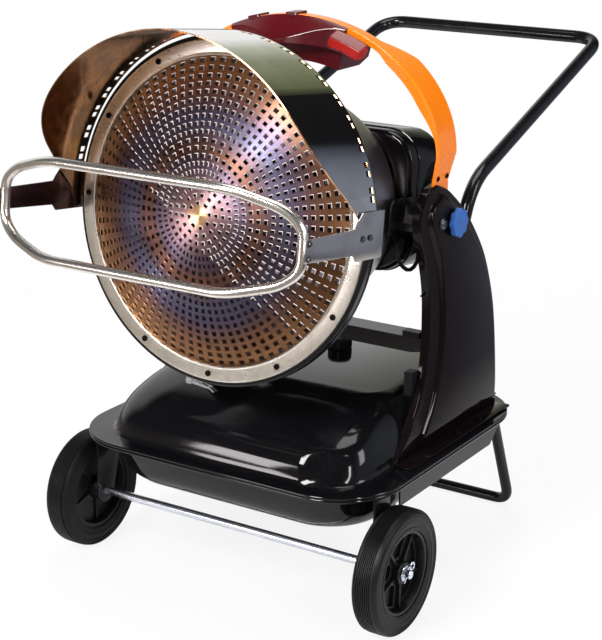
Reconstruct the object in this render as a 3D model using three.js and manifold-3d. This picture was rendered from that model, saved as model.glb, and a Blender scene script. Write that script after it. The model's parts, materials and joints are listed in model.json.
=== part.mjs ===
// Infrared diesel heater on wheels, in millimetres.
// X points to the side with the clamp knob, -Y is the way the heat goes, +Z is up.
// The head is drawn level, with its pivot axis at its own origin, and then tilted as a group.
import * as THREE from 'three';
import * as BufferGeometryUtils from 'three/addons/utils/BufferGeometryUtils.js';
import Module from 'manifold-3d';

const wasm = await Module();
wasm.setup();

// Driving dimensions
const AXLE_LENGTH = 692;
const WHEEL_RADIUS = 106;
const WHEEL_WIDTH = 44;
const AXLE_Y = -216;
const PIVOT_HEIGHT = 632;
const HEAD_TILT_DEGREES = 7;
const RING_RADIUS = 276;
const RING_FRONT = 258;
const RING_RISE = 4;
const TANK_TOP = 243;
const TANK_HALF_WIDTH = 307;
const TANK_FRONT = -304;
const TANK_REAR = 288;
const ARM_FACE_X = 270;
const ARCH_HALF_WIDTH = 272;
const ARCH_CENTRE_HEIGHT = 745;
const HANDLE_REACH = 685;
const HANDLE_HEIGHT = 848;
const HANDLE_HALF_WIDTH = 239;

// Clearances and sheet thicknesses
const SEAT_GAP = 0.3;
const OVERRUN = 60;
const SHEET = 3;
const BORE_CLEARANCE = 0.5;
const MERGE_DISTANCE = 0.001;
const FULL_TURN = Math.PI * 2;

// Degrees of a circle, and the number of facets on small round parts
const CIRCLE = 360;
const HALF_CIRCLE = CIRCLE / 2;
const QUARTER_CIRCLE = CIRCLE / 4;
const WIRE_SIDES = 6;
const SCREW_SIDES = 10;
const BOLT_SIDES = 12;
const BORE_SIDES = 16;
const ARC_STEPS = 8;
const BEND_STEPS = 4;

// Wheels and axle
const AXLE_RADIUS = 7.5;
const WHEEL_FACE_INSET = 8;
const TYRE_THICKNESS = 34;
const TYRE_SHOULDER = 7;
const TREAD_GROOVE_DEPTH = 2;
const TREAD_GROOVE_COUNT = 3;
const HUB_WEB = 8;
const HUB_BOSS_RADIUS = 19;
const HUB_SPOKE_COUNT = 5;
const HUB_WINDOW_SHARE = 0.62;
const HUB_FACE_RECESS = 5;
const HUB_INNER_BOSS = 2;
const WASHER_RADIUS = 13;
const WASHER_THICKNESS = 2.5;
const PIN_WIRE_RADIUS = 1.4;
const PIN_RING_RADIUS = 6;
const PIN_LEG_LENGTH = 28;
const PIN_LEG_SHARE = 0.6;
const PIN_EDGE = 6;
const PIN_TURN = Math.PI / 5;
const PIN_RING_STEPS = 12;
const WINDOW_OUTER_STEPS = 4;
const WINDOW_INNER_STEPS = 2;
const ROUND_STEPS = 22;

// Axle brackets and side rails under the tank flange
const RAIL_DEPTH = 24;
const RAIL_HEIGHT = 36;
const RAIL_FRONT = -168;
const RAIL_REAR = 186;
const BRACKET_SHEET = 4;
const BRACKET_INSET = 58;
const BRACKET_FACE_X = AXLE_LENGTH / 2 - BRACKET_INSET;
const RAIL_FACE_X = BRACKET_FACE_X + 2 * BRACKET_SHEET;
const BRACKET_EYE_RADIUS = 22;
const BRACKET_EYE_FROM = 170;
const BRACKET_EYE_TO = 350;

// Tank
const FLANGE_CORNER = 118;
const FLANGE_SHEET = 5;
const FLANGE_BEVEL = 1.5;
const FLANGE_WIDTH = 30;
const FLANGE_SIDE_WIDTH = 50;
const DOME_CORNER = 92;
const DOME_RISE = 98;
const DOME_SIDE_INSET = 54;
const DOME_FRONT_INSET = 176;
const DOME_REAR_INSET = 62;
const TANK_WALL = 3;
const PAN_DEPTH = 84;
const PAN_FLANGE_WIDTH = 38;
const PAN_INSET = 40;
const CORNER_STEPS = 4;
const DENT_LEFT = 165;
const DENT_WIDTH = 78;
const DENT_RISE = 46;
const DENT_DEPTH = 7;
const FILLER_X = 10;
const FILLER_Y = 106;
const NECK_RADIUS = 17;
const NECK_BORE = 13;
const NECK_HEIGHT = 15;
const CAP_RADIUS = 22;
const CAP_HEIGHT = 17;
const CAP_WALL = 4.4;
const CAP_REST = 1.2;
const CAP_STEPS_ROUND = 18;
const CAP_GRIP_COUNT = 6;
const CAP_GRIP_DEPTH = 1.4;
const DRAIN_RADIUS = 11;
const DRAIN_HEIGHT = 9;

// Side arms
const ARM_FOOT_Y = -132;
const ARM_LENGTH = 369;
const ARM_RISE = 454;
const ARM_REAR_STEPS = 9;
const ARM_FRONT_STEPS = 12;
const ARM_WALL = 4;
const ARM_BORDER_X = 262;
const ARM_INNER_X = 246;
const ARM_BEVEL = 3;
const ARM_PANEL_BORDER = 13;
const ARM_FOOT_WIDTH = 32;
const ARM_FOOT_SHEET = 4;
const ARM_TAB_LENGTH = 12;
const ARM_TAB_HEIGHT = 512;
const ARM_TAB_SHARE = 0.31;
const FOOT_BOLT_RADIUS = 6;
const FOOT_BOLT_HEIGHT = 5;
const SIDE_BLOCK_WIDTH = 15;
const SIDE_BLOCK_LENGTH = 20;
const SIDE_BLOCK_HEIGHT = 42;
const SIDE_BLOCK_Y = -37;
const SIDE_BLOCK_Z = 360;

// Tie between the arms
const TIE_TOP = 431;
const TIE_HEIGHT = 27;
const TIE_FRONT = -12;
const TIE_DEPTH = 42;
const TIE_END_RISE = 16;
const TIE_END_RUN = 34;
const TIE_KNEE_RISE = 5;
const TIE_KNEE_RUN = 11;
const CLIP_LENGTH = 32;
const CLIP_WIDTH = 18;
const CLIP_HEIGHT = 9;
const CLIP_X = 222;

// Arch: half an ellipse on legs that lean in behind the arms, narrow over the crown
const ARCH_FRONT = -24;
const ARCH_WIDTH = 66;
const ARCH_RISE = 212;
const ARCH_TOP = ARCH_CENTRE_HEIGHT + ARCH_RISE;
const ARCH_LEG_BEND = ARCH_CENTRE_HEIGHT - 48;
const ARCH_LEG_BOTTOM = ARCH_CENTRE_HEIGHT - 81;
const ARCH_FOOT_SETBACK = 12;
const ARCH_CROWN_WIDTH = 26;
const ARCH_CROWN_HALF = 150;
const ARCH_WING_HALF = 196;
const ARCH_LIP = 16;
const ARCH_LIP_FROM = 4;
const ARCH_LIP_TO = 26;
const ARCH_LIP_FADE_FROM = 46;
const ARCH_LIP_FADE_TO = 54;
const ARCH_STEPS = 26;
const ARCH_SCREW_Z = ARCH_CENTRE_HEIGHT - 39;
const ARCH_SCREW_SPACING = 30;
const ARCH_SCREW_RADIUS = 4.5;
const ARCH_SCREW_HEIGHT = 3;
const SCREW_CROWN_SHARE = 0.7;

// Control box on the arch's crown, swept about the centre of the crown's own curve
const CROWN_RADIUS = ARCH_HALF_WIDTH ** 2 / ARCH_RISE;
const CONSOLE_RIGHT_X = 100;
const CONSOLE_LEFT_X = -130;
const CONSOLE_CAP_X = 153;
const CONSOLE_STEPS = 14;
const HOOD_DEPTH = 38;
const HOOD_EDGE = 5;
const HOOD_DROP = 39;
const HOOD_CHIN = 44;
const HOOD_LEDGE = 4;
const HOOD_BOW_STEPS = 16;
const BODY_DEPTH = 92;
const BODY_TOP_DROP = 24;
const BODY_DROP = 76;
const BODY_CHAMFER = 12;
const BODY_FRONT = 6;
const STRAP_THICKNESS = 3;
const STRAP_ROOT = 6;
const STRAP_STEPS = 2;
const STRAP_WIDTH = 21;
const STRAP_LEFT_X = -84;
const STRAP_RIGHT_X = -8;
const CAP_DEPTH = 25;
const CAP_TOP_DROP = 8;
const CAP_SLOPE_DROP = 22;
const CAP_DROP = 46;
const CAP_STEPS = 4;
const DIAL_RADIUS = 15;
const DIAL_HEIGHT = 12;
const DIAL_X = 22;
const DIAL_RIB_COUNT = 7;
const DIAL_RIB_DEPTH = 1.2;
const SWITCH_WIDTH = 24;
const SWITCH_HEIGHT = 15;
const SWITCH_DEPTH = 8;
const SWITCH_PLAY = 0.6;
const SWITCH_SWEEP = 1.2;
const SWITCH_TILT_DEGREES = 12;
const SWITCH_ROOT_SHARE = 0.8;
const SWITCH_LIP_SHARE = 0.65;
const SWITCH_DIP_SHARE = 0.25;
const SWITCH_X = -52;
const CONSOLE_PANEL_HEIGHT = ARCH_TOP - (BODY_TOP_DROP + BODY_DROP) / 2;

// Push handle and rear foot
const HANDLE_TUBE = 12;
const HANDLE_BEND = 52;
const HANDLE_FOOT_Y = 92;
const HANDLE_FOOT_Z = 540;
const HANDLE_KNEE_Y = 150;
const HANDLE_KNEE_Z = 668;
const FOOT_TUBE = 10;
const FOOT_HALF_WIDTH = 250;
const FOOT_REACH = 337;
const FOOT_TOP_Y = 266;
const FOOT_TOP_Z = 232;
const FOOT_BEND = 30;
const TUBE_SIDES = 8;

// Head pivot and clamp
const PIVOT_BOLT_RADIUS = 8;
const DOME_NUT_RADIUS = 8;
const DOME_NUT_LENGTH = 7;
const DOME_NUT_FLANGE = 2.4;
const PIVOT_BOSS_RADIUS = 27;
const YOKE_SHEET = 4;
const YOKE_X = 214;
const YOKE_HALF_HEIGHT = 34;
const QUADRANT_X = 238;
const YOKE_HALF_LENGTH = 48;
const YOKE_CORNER_STEPS = 3;
const QUADRANT_RADIUS = 62;
const QUADRANT_MARGIN = 12;
const QUADRANT_REAR_FROM = 120;
const QUADRANT_REAR_TO = 240;
const STUD_BOSS_RADIUS = 15;
const STUD_HEAD_RADIUS = 8;
const STUD_OFFSET = 40;
const STUD_RADIUS = 5;
const STUD_REST_DEGREES = 7;
const SLOT_DOWN_DEGREES = 15;
const SLOT_UP_DEGREES = 17;
const KNOB_RADIUS = 25;
const KNOB_LOBE_DEPTH = 3;
const KNOB_LOBES = 8;
const KNOB_THICKNESS = 11;
const KNOB_COLLAR = 4;

// Emission disc, ring and drum
const DISC_RADIUS = 251;
const DISC_BULGE = 53;
const DISC_SHEET = 3;
const DISC_SEAT = 1.5;
const DISC_STEPS = 4;
const DISC_SEGMENTS = 28;
const PERFORATION_ROWS = 4;
const PERFORATION_FIRST = 52;
const PERFORATION_ROW_STEP = 53;
const PERFORATION_PITCH = 66;
const PERFORATION_LENGTH = 24;
const PERFORATION_WIDTH = 14;
const RING_SEGMENTS = 30;
const RING_WIDTH = 27;
const RING_RIM_DEPTH = 22;
const RING_SHEET = 3;
const BEAD_HEIGHT = 3;
const BEAD_WIDTH = 5;
const RING_SCREW_COUNT = 12;
const RING_SCREW_RADIUS = 5;
const RING_SCREW_HEIGHT = 3;
const RING_SCREW_CIRCLE = 264;
const BAND_RADIUS = 283;
const BAND_FRONT = 254;
const BAND_WIDTH = 20;
const BAND_SHEET = 3;
const DRUM_WALL = 3;
const CHAMBER_RADIUS = 92;
const CHAMBER_FRONT = 226;
const CHAMBER_REAR = 62;
const BURNER_TUBE_RADIUS = 52;
const BURNER_TUBE_REAR = -26;
const NOZZLE_RADIUS = 6.5;
const NOZZLE_TIP_RADIUS = 3.25;
const NOZZLE_TAPER = 13;
const NOZZLE_SIDES = 6;
const LATCH_BASE_LENGTH = 34;
const LATCH_WIDTH = 17;
const LATCH_SHEET = 2.5;
const LATCH_EAR = 11;
const LATCH_PIN_SHARE = 0.6;
const LATCH_TIP = 10;
const LATCH_SAG = 1;
const LATCH_TIP_SAG = 4.4;
const LATCH_LEVER_LENGTH = 50;
const LATCH_PIN_RADIUS = 2.2;

// Visor
const VISOR_RADIUS = 290;
const VISOR_SHEET = 2;
const VISOR_REAR = 250;
const VISOR_REACH = 162;
const VISOR_LOW_DEGREES = -5;
const VISOR_STEPS = 26;
const SLOT_FIRST_DEGREES = 13;
const SLOT_PITCH_DEGREES = 7.7;
const SLOT_COUNT = 21;
const SLOT_LENGTH = 8;
const SLOT_WIDTH = 26;
const SLOT_FROM_REAR = 11;

// Guard in front of the disc
const GUARD_TUBE = 8;
const GUARD_FRONT = 476;
const GUARD_HALF_LENGTH = 282;
const GUARD_STRAIGHT = 173;
const GUARD_HALF_HEIGHT = 77;
const GUARD_SHOULDER = 252;
const GUARD_SHOULDER_HEIGHT = 56;
const GUARD_END_HEIGHT = 32;
const GUARD_SWEEP = 32;
const GUARD_BEND = 22;
const GUARD_PLATE = 2.5;
const GUARD_PLATE_REAR = 234;
const GUARD_PLATE_FRONT = 312;
const GUARD_PLATE_TOP = 43;
const GUARD_PLATE_BOTTOM = -28;
const GUARD_TONGUE_HALF = 20;
const GUARD_TONGUE_END = 454;
const GUARD_CHAMFER = 14;
const GUARD_BOLT_RADIUS = 4.5;
const GUARD_BOLT_HEIGHT = 3.5;
const GUARD_BOLT_SPACING = 22;
const BOLT_TIP_SHARE = 0.8;

// Burner housing
const HOUSING_HALF_WIDTH = 196;
const HOUSING_TOP = 140;
const HOUSING_BOTTOM = -100;
const HOUSING_CORNER = 58;
const HOUSING_CORNER_STEPS = 5;
const HOUSING_FRONT = 78;
const HOUSING_REAR = -142;
const HOUSING_WALL = 4;
const INLET_RADIUS = 72;
const INLET_BARS = 5;
const INLET_BAR = 4;
const INLET_SHEET = 3;
const FAN_RADIUS = 60;
const FAN_DEPTH = 26;
const FAN_BLADES = 8;
const FAN_BLADE_SHEET = 2.5;
const FAN_BLADE_LENGTH = 18;
const FAN_BLADE_CENTRE = 49;
const FAN_BLADE_TURN = Math.PI / 5;
const FAN_HUB_RADIUS = 15;
const FAN_HUB_SIDES = 7;
const FAN_REST = 1.2;
const MOTOR_RADIUS = 38;
const PUMP_SIZE = 44;
const LEAD_RADIUS = 3.5;
const LEAD_BEND = 30;
const LEAD_STEPS = 3;
// The lead's route: lead radii out from the housing, shares of its front and of its bottom.
const LEAD_ROUTE_SHARES = [
  [0, -0.25, 0.41],
  [0, -0.17, 0.72],
  [3, 0.125, 0.92],
  [3, 0.55, 0.75],
  [0, 0.6, 0.41],
];

function solidOf(geometry) {
  const bare = geometry.clone();
  bare.deleteAttribute('normal');
  bare.deleteAttribute('uv');
  const merged = BufferGeometryUtils.mergeVertices(bare, MERGE_DISTANCE);
  const points = merged.attributes.position.array;
  const corners = [];
  for (let i = 0; i < merged.index.count; i += 3) {
    const [a, b, c] = [0, 1, 2].map((k) => merged.index.getX(i + k));
    if (a !== b && b !== c && c !== a) corners.push([a, b, c]);
  }
  const at = (i) => new THREE.Vector3().fromArray(points, i * 3);
  const volume = corners.reduce((sum, [a, b, c]) => sum + at(a).dot(at(b).cross(at(c))), 0);
  const facing = volume < 0 ? corners.map(([a, b, c]) => [a, c, b]) : corners;
  return new wasm.Manifold(
    new wasm.Mesh({
      numProp: 3,
      vertProperties: new Float32Array(points),
      triVerts: new Uint32Array(facing.flat()),
    }),
  );
}

function geometryOf(solid) {
  const mesh = solid.getMesh();
  const geometry = new THREE.BufferGeometry();
  geometry.setAttribute('position', new THREE.BufferAttribute(new Float32Array(mesh.vertProperties), 3));
  geometry.setIndex(new THREE.BufferAttribute(new Uint32Array(mesh.triVerts), 1));
  geometry.computeVertexNormals();
  return geometry;
}

function joined(...solids) {
  return solids.flat().reduce((whole, solid) => whole.add(solid));
}

function cutBy(solid, ...cutters) {
  return cutters.flat().reduce((left, cutter) => left.subtract(cutter), solid);
}

function finish(colour, roughness, metalness) {
  return () => new THREE.MeshStandardMaterial({ color: colour, roughness, metalness });
}

const FINISHES = {
  blackGloss: finish(0x0b0b0d, 0.16, 0),
  blackSatin: finish(0x141416, 0.42, 0),
  rubber: finish(0x17181a, 0.8, 0),
  blackPlastic: finish(0x111113, 0.5, 0),
  zinc: finish(0xb9bfc6, 0.25, 1),
  stainless: finish(0xc9c4bb, 0.24, 1),
  mirror: finish(0xb4afa6, 0.1, 1),
  heatTint: finish(0x9a6a48, 0.3, 1),
  orange: finish(0xff7a0a, 0.35, 0),
  maroon: finish(0x6b1418, 0.28, 0),
  red: finish(0xd32a1e, 0.35, 0),
  blue: finish(0x2a5fb4, 0.45, 0),
  darkSteel: finish(0x3b3a3a, 0.5, 1),
  brass: finish(0xb08d4a, 0.35, 1),
};

function piece(name, solid, look) {
  const mesh = new THREE.Mesh(geometryOf(solid), FINISHES[look]());
  mesh.name = name;
  return mesh;
}

// Turns a drawing whose own axes are (y, z) of the object and pushes it along X.
function besideX(geometry) {
  const turn = new THREE.Matrix4();
  turn.makeBasis(new THREE.Vector3(0, 1, 0), new THREE.Vector3(0, 0, 1), new THREE.Vector3(1, 0, 0));
  return geometry.applyMatrix4(turn);
}

// Turns a drawing whose own axes are (x, z) of the object and pushes it along -Y.
function towardsFront(geometry) {
  const turn = new THREE.Matrix4();
  turn.makeBasis(new THREE.Vector3(1, 0, 0), new THREE.Vector3(0, 0, 1), new THREE.Vector3(0, -1, 0));
  return geometry.applyMatrix4(turn);
}

// Revolved profiles of (radius, height) points, about each of the three axes.
function revolved(points, segments = ROUND_STEPS) {
  const profile = points.map(([radius, height]) => new THREE.Vector2(radius, height));
  return new THREE.LatheGeometry(profile, segments);
}

function revolvedAboutX(points, segments) {
  const turn = new THREE.Matrix4();
  turn.makeBasis(new THREE.Vector3(0, 1, 0), new THREE.Vector3(1, 0, 0), new THREE.Vector3(0, 0, -1));
  return solidOf(revolved(points, segments).applyMatrix4(turn));
}

function revolvedForward(points, segments) {
  const turn = new THREE.Matrix4();
  turn.makeBasis(new THREE.Vector3(1, 0, 0), new THREE.Vector3(0, -1, 0), new THREE.Vector3(0, 0, -1));
  return solidOf(revolved(points, segments).applyMatrix4(turn));
}

function revolvedUp(points, segments) {
  return solidOf(towardsFront(revolved(points, segments)));
}

function closedProfile(points) {
  return [...points, points[0]];
}

function box(sizeX, sizeY, sizeZ, x, y, z) {
  return solidOf(new THREE.BoxGeometry(sizeX, sizeY, sizeZ).translate(x, y, z));
}

function rodAlongX(radius, fromX, toX, y, z, steps = ROUND_STEPS / 2) {
  const rod = new THREE.CylinderGeometry(radius, radius, toX - fromX, steps);
  return solidOf(rod.rotateZ(Math.PI / 2).translate((fromX + toX) / 2, y, z));
}

function rodForward(radius, from, to, x, z, steps = ROUND_STEPS / 2) {
  const rod = new THREE.CylinderGeometry(radius, radius, to - from, steps);
  return solidOf(rod.rotateX(Math.PI / 2).translate(x, -(from + to) / 2, z));
}

function shapeOf(points, holes = []) {
  const shape = new THREE.Shape(points.map(([u, v]) => new THREE.Vector2(u, v)));
  for (const hole of holes) shape.holes.push(new THREE.Path(hole.map(([u, v]) => new THREE.Vector2(u, v))));
  return shape;
}

function slab(points, depth, bevel = 0, holes = [], bevelSegments = 1) {
  return new THREE.ExtrudeGeometry(shapeOf(points, holes), {
    depth: depth - 2 * bevel,
    bevelEnabled: bevel > 0,
    bevelThickness: bevel,
    bevelSize: bevel,
    bevelOffset: -bevel,
    bevelSegments,
    steps: 1,
    curveSegments: 1,
  }).translate(0, 0, bevel);
}

// A side view in (y, z), standing between two X planes.
function sidePlate(points, fromX, toX, bevel = 0, holes = []) {
  return solidOf(besideX(slab(points, toX - fromX, bevel, holes)).translate(fromX, 0, 0));
}

// A front view in (x, z), running forward from one distance to another.
function frontPlate(points, from, to, bevel = 0, holes = [], bevelSegments = 1) {
  return solidOf(towardsFront(slab(points, to - from, bevel, holes, bevelSegments)).translate(0, -from, 0));
}

function arcPoints(centreU, centreV, radius, fromDegrees, toDegrees, steps) {
  const points = [];
  for (let i = 0; i <= steps; i += 1) {
    const angle = THREE.MathUtils.degToRad(fromDegrees + ((toDegrees - fromDegrees) * i) / steps);
    points.push([centreU + radius * Math.cos(angle), centreV + radius * Math.sin(angle)]);
  }
  return points;
}

function roundedRectangle(left, right, low, high, radius, steps = CORNER_STEPS) {
  const quarters = [
    [right - radius, high - radius, 0],
    [left + radius, high - radius, QUARTER_CIRCLE],
    [left + radius, low + radius, HALF_CIRCLE],
    [right - radius, low + radius, HALF_CIRCLE + QUARTER_CIRCLE],
  ];
  return quarters.flatMap(([u, v, start]) => arcPoints(u, v, radius, start, start + QUARTER_CIRCLE, steps));
}

// A round hole's outline, run clockwise so that it cuts.
function boreOutline(centreU, centreV, radius) {
  return arcPoints(centreU, centreV, radius, CIRCLE, 0, BORE_SIDES).slice(0, BORE_SIDES);
}

// Moves every corner of a closed outline inwards by the same distance.
function insetOutline(points, distance) {
  const count = points.length;
  return points.map(([u, v], i) => {
    const before = points[(i + count - 1) % count];
    const after = points[(i + 1) % count];
    const along = new THREE.Vector2(after[0] - before[0], after[1] - before[1]).normalize();
    return [u - along.y * distance, v + along.x * distance];
  });
}

function smoothOutline(points, steps) {
  const curve = new THREE.CatmullRomCurve3(
    points.map(([u, v]) => new THREE.Vector3(u, v, 0)),
    false,
    'centripetal',
  );
  return curve.getPoints(steps).map((point) => [point.x, point.y]);
}

// A closed body through level outlines that all have the same number of corners.
function loft(levels) {
  const count = levels[0].outline.length;
  const positions = levels.flatMap(({ outline, z }) => outline.flatMap(([x, y]) => [x, y, z]));
  const index = [];
  for (let level = 0; level + 1 < levels.length; level += 1) {
    for (let i = 0; i < count; i += 1) {
      const a = level * count + i;
      const b = level * count + ((i + 1) % count);
      index.push(a, b, b + count, a, b + count, a + count);
    }
  }
  for (let i = 1; i + 1 < count; i += 1) {
    const top = (levels.length - 1) * count;
    index.push(0, i + 1, i, top, top + i, top + i + 1);
  }
  const geometry = new THREE.BufferGeometry();
  geometry.setAttribute('position', new THREE.Float32BufferAttribute(positions, 3));
  geometry.setIndex(index);
  return solidOf(geometry);
}

// A route of straight runs with round bends, sampled only where it turns.
class BentRoute extends THREE.Curve {
  constructor(corners, bend, bendSteps, closed = false) {
    super();
    this.closed = closed;
    this.stations = [];
    const count = corners.length;
    corners.forEach((corner, i) => {
      const isEnd = !closed && (i === 0 || i === count - 1);
      if (isEnd) {
        this.stations.push(corner.clone());
        return;
      }
      const back = corners[(i + count - 1) % count].clone().sub(corner);
      const ahead = corners[(i + 1) % count].clone().sub(corner);
      const reach = Math.min(bend, back.length() / 2, ahead.length() / 2);
      const start = corner.clone().addScaledVector(back.normalize(), reach);
      const end = corner.clone().addScaledVector(ahead.normalize(), reach);
      const arc = new THREE.QuadraticBezierCurve3(start, corner, end);
      this.stations.push(...arc.getPoints(bendSteps));
    });
    if (closed) this.stations.push(this.stations[0].clone());
  }

  get runs() {
    return this.stations.length - 1;
  }

  getPoint(share, target = new THREE.Vector3()) {
    const place = Math.min(Math.max(share, 0), 1) * this.runs;
    const low = Math.min(Math.floor(place), this.runs - 1);
    return target.lerpVectors(this.stations[low], this.stations[low + 1], place - low);
  }

  getPointAt(share, target) {
    return this.getPoint(share, target);
  }

  getSpacedPoints(divisions) {
    return Array.from({ length: divisions + 1 }, (_, i) => this.getPoint(i / divisions));
  }

  getTangentAt(share, target = new THREE.Vector3()) {
    const i = Math.round(share * this.runs);
    const wrap = (k) => (this.closed ? (k + this.runs) % this.runs : Math.min(Math.max(k, 0), this.runs));
    const into = this.stations[i].clone().sub(this.stations[wrap(i - 1)]).normalize();
    const out = this.stations[wrap(i + 1)].clone().sub(this.stations[i % (this.runs + 1)]).normalize();
    return target.copy(into).add(out).normalize();
  }
}

function bentTube(corners, bend, bendSteps, radius, sides = TUBE_SIDES) {
  const route = new BentRoute(corners, bend, bendSteps);
  const section = new THREE.Shape(
    arcPoints(0, 0, radius, 0, CIRCLE, sides)
      .slice(0, sides)
      .map(([u, v]) => new THREE.Vector2(u, v)),
  );
  return solidOf(
    new THREE.ExtrudeGeometry(section, { steps: route.runs, extrudePath: route, curveSegments: 1 }),
  );
}

function closedTube(corners, bend, bendSteps, radius, sides = TUBE_SIDES) {
  const route = new BentRoute(corners, bend, bendSteps, true);
  return solidOf(new THREE.TubeGeometry(route, route.runs, radius, sides, true));
}

// Wheels and axle

function treadProfile(radius, width) {
  const points = [];
  const grooveStep = (width - 2 * TYRE_SHOULDER) / TREAD_GROOVE_COUNT;
  for (let i = 0; i < TREAD_GROOVE_COUNT; i += 1) {
    const start = -width / 2 + TYRE_SHOULDER + i * grooveStep;
    points.push([radius, start], [radius, start + grooveStep / 2]);
    points.push([radius - TREAD_GROOVE_DEPTH, start + (grooveStep * 3) / 4]);
  }
  points.push([radius, width / 2 - TYRE_SHOULDER]);
  return points;
}

function tyre() {
  const half = WHEEL_WIDTH / 2;
  const inner = WHEEL_RADIUS - TYRE_THICKNESS;
  const side = WHEEL_RADIUS - TYRE_SHOULDER;
  return revolvedAboutX(
    closedProfile([
      [inner, -half + TYRE_SHOULDER / 2],
      [side, -half],
      ...treadProfile(WHEEL_RADIUS, WHEEL_WIDTH),
      [side, half],
      [inner, half - TYRE_SHOULDER / 2],
    ]),
    ROUND_STEPS,
  );
}

function hub() {
  const half = WHEEL_WIDTH / 2 - TYRE_SHOULDER / 2;
  const rim = WHEEL_RADIUS - TYRE_THICKNESS - SEAT_GAP;
  const wall = SHEET * 2;
  const bore = AXLE_RADIUS + BORE_CLEARANCE;
  const bossEnd = WHEEL_WIDTH / 2;
  const wheelBody = revolvedAboutX(
    closedProfile([
      [bore, -bossEnd - HUB_INNER_BOSS],
      [HUB_BOSS_RADIUS, -bossEnd - HUB_INNER_BOSS],
      [HUB_BOSS_RADIUS, -HUB_WEB / 2],
      [rim - wall, -HUB_WEB / 2],
      [rim - wall, -half],
      [rim, -half],
      [rim, half],
      [rim - wall, half],
      [rim - wall, HUB_WEB / 2],
      [HUB_BOSS_RADIUS, HUB_WEB / 2],
      [HUB_BOSS_RADIUS, bossEnd - HUB_FACE_RECESS],
      [bore, bossEnd - HUB_FACE_RECESS],
    ]),
    ROUND_STEPS,
  );
  const windowInner = HUB_BOSS_RADIUS + SHEET;
  const windowOuter = rim - wall - SHEET;
  const spread = (CIRCLE / HUB_SPOKE_COUNT) * HUB_WINDOW_SHARE;
  const windows = [];
  for (let i = 0; i < HUB_SPOKE_COUNT; i += 1) {
    const middle = (CIRCLE * i) / HUB_SPOKE_COUNT + QUARTER_CIRCLE;
    const outline = [
      ...arcPoints(0, 0, windowOuter, middle - spread / 2, middle + spread / 2, WINDOW_OUTER_STEPS),
      ...arcPoints(0, 0, windowInner, middle + spread / 2, middle - spread / 2, WINDOW_INNER_STEPS),
    ];
    windows.push(sidePlate(outline, -HUB_WEB, HUB_WEB));
  }
  return cutBy(wheelBody, windows);
}

// A wire pin through the axle, drawn along Y with its ring at the end.
function splitPin() {
  const legAhead = PIN_LEG_LENGTH * PIN_LEG_SHARE;
  const leg = new THREE.CylinderGeometry(PIN_WIRE_RADIUS, PIN_WIRE_RADIUS, PIN_LEG_LENGTH, WIRE_SIDES);
  const ring = new THREE.TorusGeometry(PIN_RING_RADIUS, PIN_WIRE_RADIUS, WIRE_SIDES, PIN_RING_STEPS);
  const ringY = PIN_LEG_LENGTH - legAhead + PIN_RING_RADIUS - PIN_WIRE_RADIUS / 2;
  return joined(
    solidOf(leg.translate(0, PIN_LEG_LENGTH / 2 - legAhead, 0)),
    solidOf(ring.rotateY(Math.PI / 2).translate(0, ringY, 0)),
  );
}

function pinX() {
  return AXLE_LENGTH / 2 - PIN_EDGE;
}

function wheelSet(side, label) {
  const faceX = AXLE_LENGTH / 2 - WHEEL_FACE_INSET;
  const centreX = faceX - WHEEL_WIDTH / 2;
  const washerX = faceX - HUB_FACE_RECESS + SEAT_GAP;
  const washer = revolvedAboutX(
    closedProfile([
      [AXLE_RADIUS + BORE_CLEARANCE, washerX],
      [WASHER_RADIUS, washerX],
      [WASHER_RADIUS, washerX + WASHER_THICKNESS],
      [AXLE_RADIUS + BORE_CLEARANCE, washerX + WASHER_THICKNESS],
    ]),
    ROUND_STEPS / 2,
  );
  const tyreMesh = piece(`tyre_${label}`, tyre(), 'rubber');
  const hubMesh = piece(`hub_${label}`, hub(), 'blackPlastic');
  tyreMesh.position.x = centreX;
  hubMesh.position.x = centreX;
  const washerMesh = piece(`axle_washer_${label}`, washer, 'zinc');
  const set = new THREE.Group();
  set.add(tyreMesh, hubMesh, washerMesh);
  set.scale.x = side;
  set.position.set(0, AXLE_Y, WHEEL_RADIUS);
  return set;
}

function axle() {
  const rod = rodAlongX(AXLE_RADIUS, -AXLE_LENGTH / 2, AXLE_LENGTH / 2, 0, 0);
  const holes = [-1, 1].map((side) => {
    const drill = new THREE.CylinderGeometry(
      PIN_WIRE_RADIUS + SEAT_GAP,
      PIN_WIRE_RADIUS + SEAT_GAP,
      AXLE_RADIUS * 2 + OVERRUN,
      WIRE_SIDES,
    );
    return solidOf(drill.rotateX(PIN_TURN).translate(side * pinX(), 0, 0));
  });
  const mesh = piece('axle', cutBy(rod, holes), 'zinc');
  mesh.position.set(0, AXLE_Y, WHEEL_RADIUS);
  return mesh;
}

function splitPinAt(side, label) {
  const mesh = piece(`split_pin_${label}`, splitPin(), 'zinc');
  mesh.position.set(side * pinX(), AXLE_Y, WHEEL_RADIUS);
  mesh.rotation.x = PIN_TURN;
  return mesh;
}

function axleBracket(side, label) {
  const eyeY = AXLE_Y;
  const eyeZ = WHEEL_RADIUS;
  const top = TANK_TOP - FLANGE_SHEET * 2 - SEAT_GAP * 2;
  const outline = [
    [RAIL_FRONT, top],
    [AXLE_Y - BRACKET_EYE_RADIUS / 2, top],
    ...arcPoints(eyeY, eyeZ, BRACKET_EYE_RADIUS, BRACKET_EYE_FROM, BRACKET_EYE_TO, ARC_STEPS),
    [RAIL_FRONT, top - RAIL_HEIGHT],
  ];
  const bore = boreOutline(eyeY, eyeZ, AXLE_RADIUS + SEAT_GAP);
  const plate = sidePlate(outline, BRACKET_FACE_X - BRACKET_SHEET, BRACKET_FACE_X, 0, [bore]);
  const mesh = piece(`axle_bracket_${label}`, plate, 'blackSatin');
  mesh.scale.x = side;
  return mesh;
}

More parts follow.
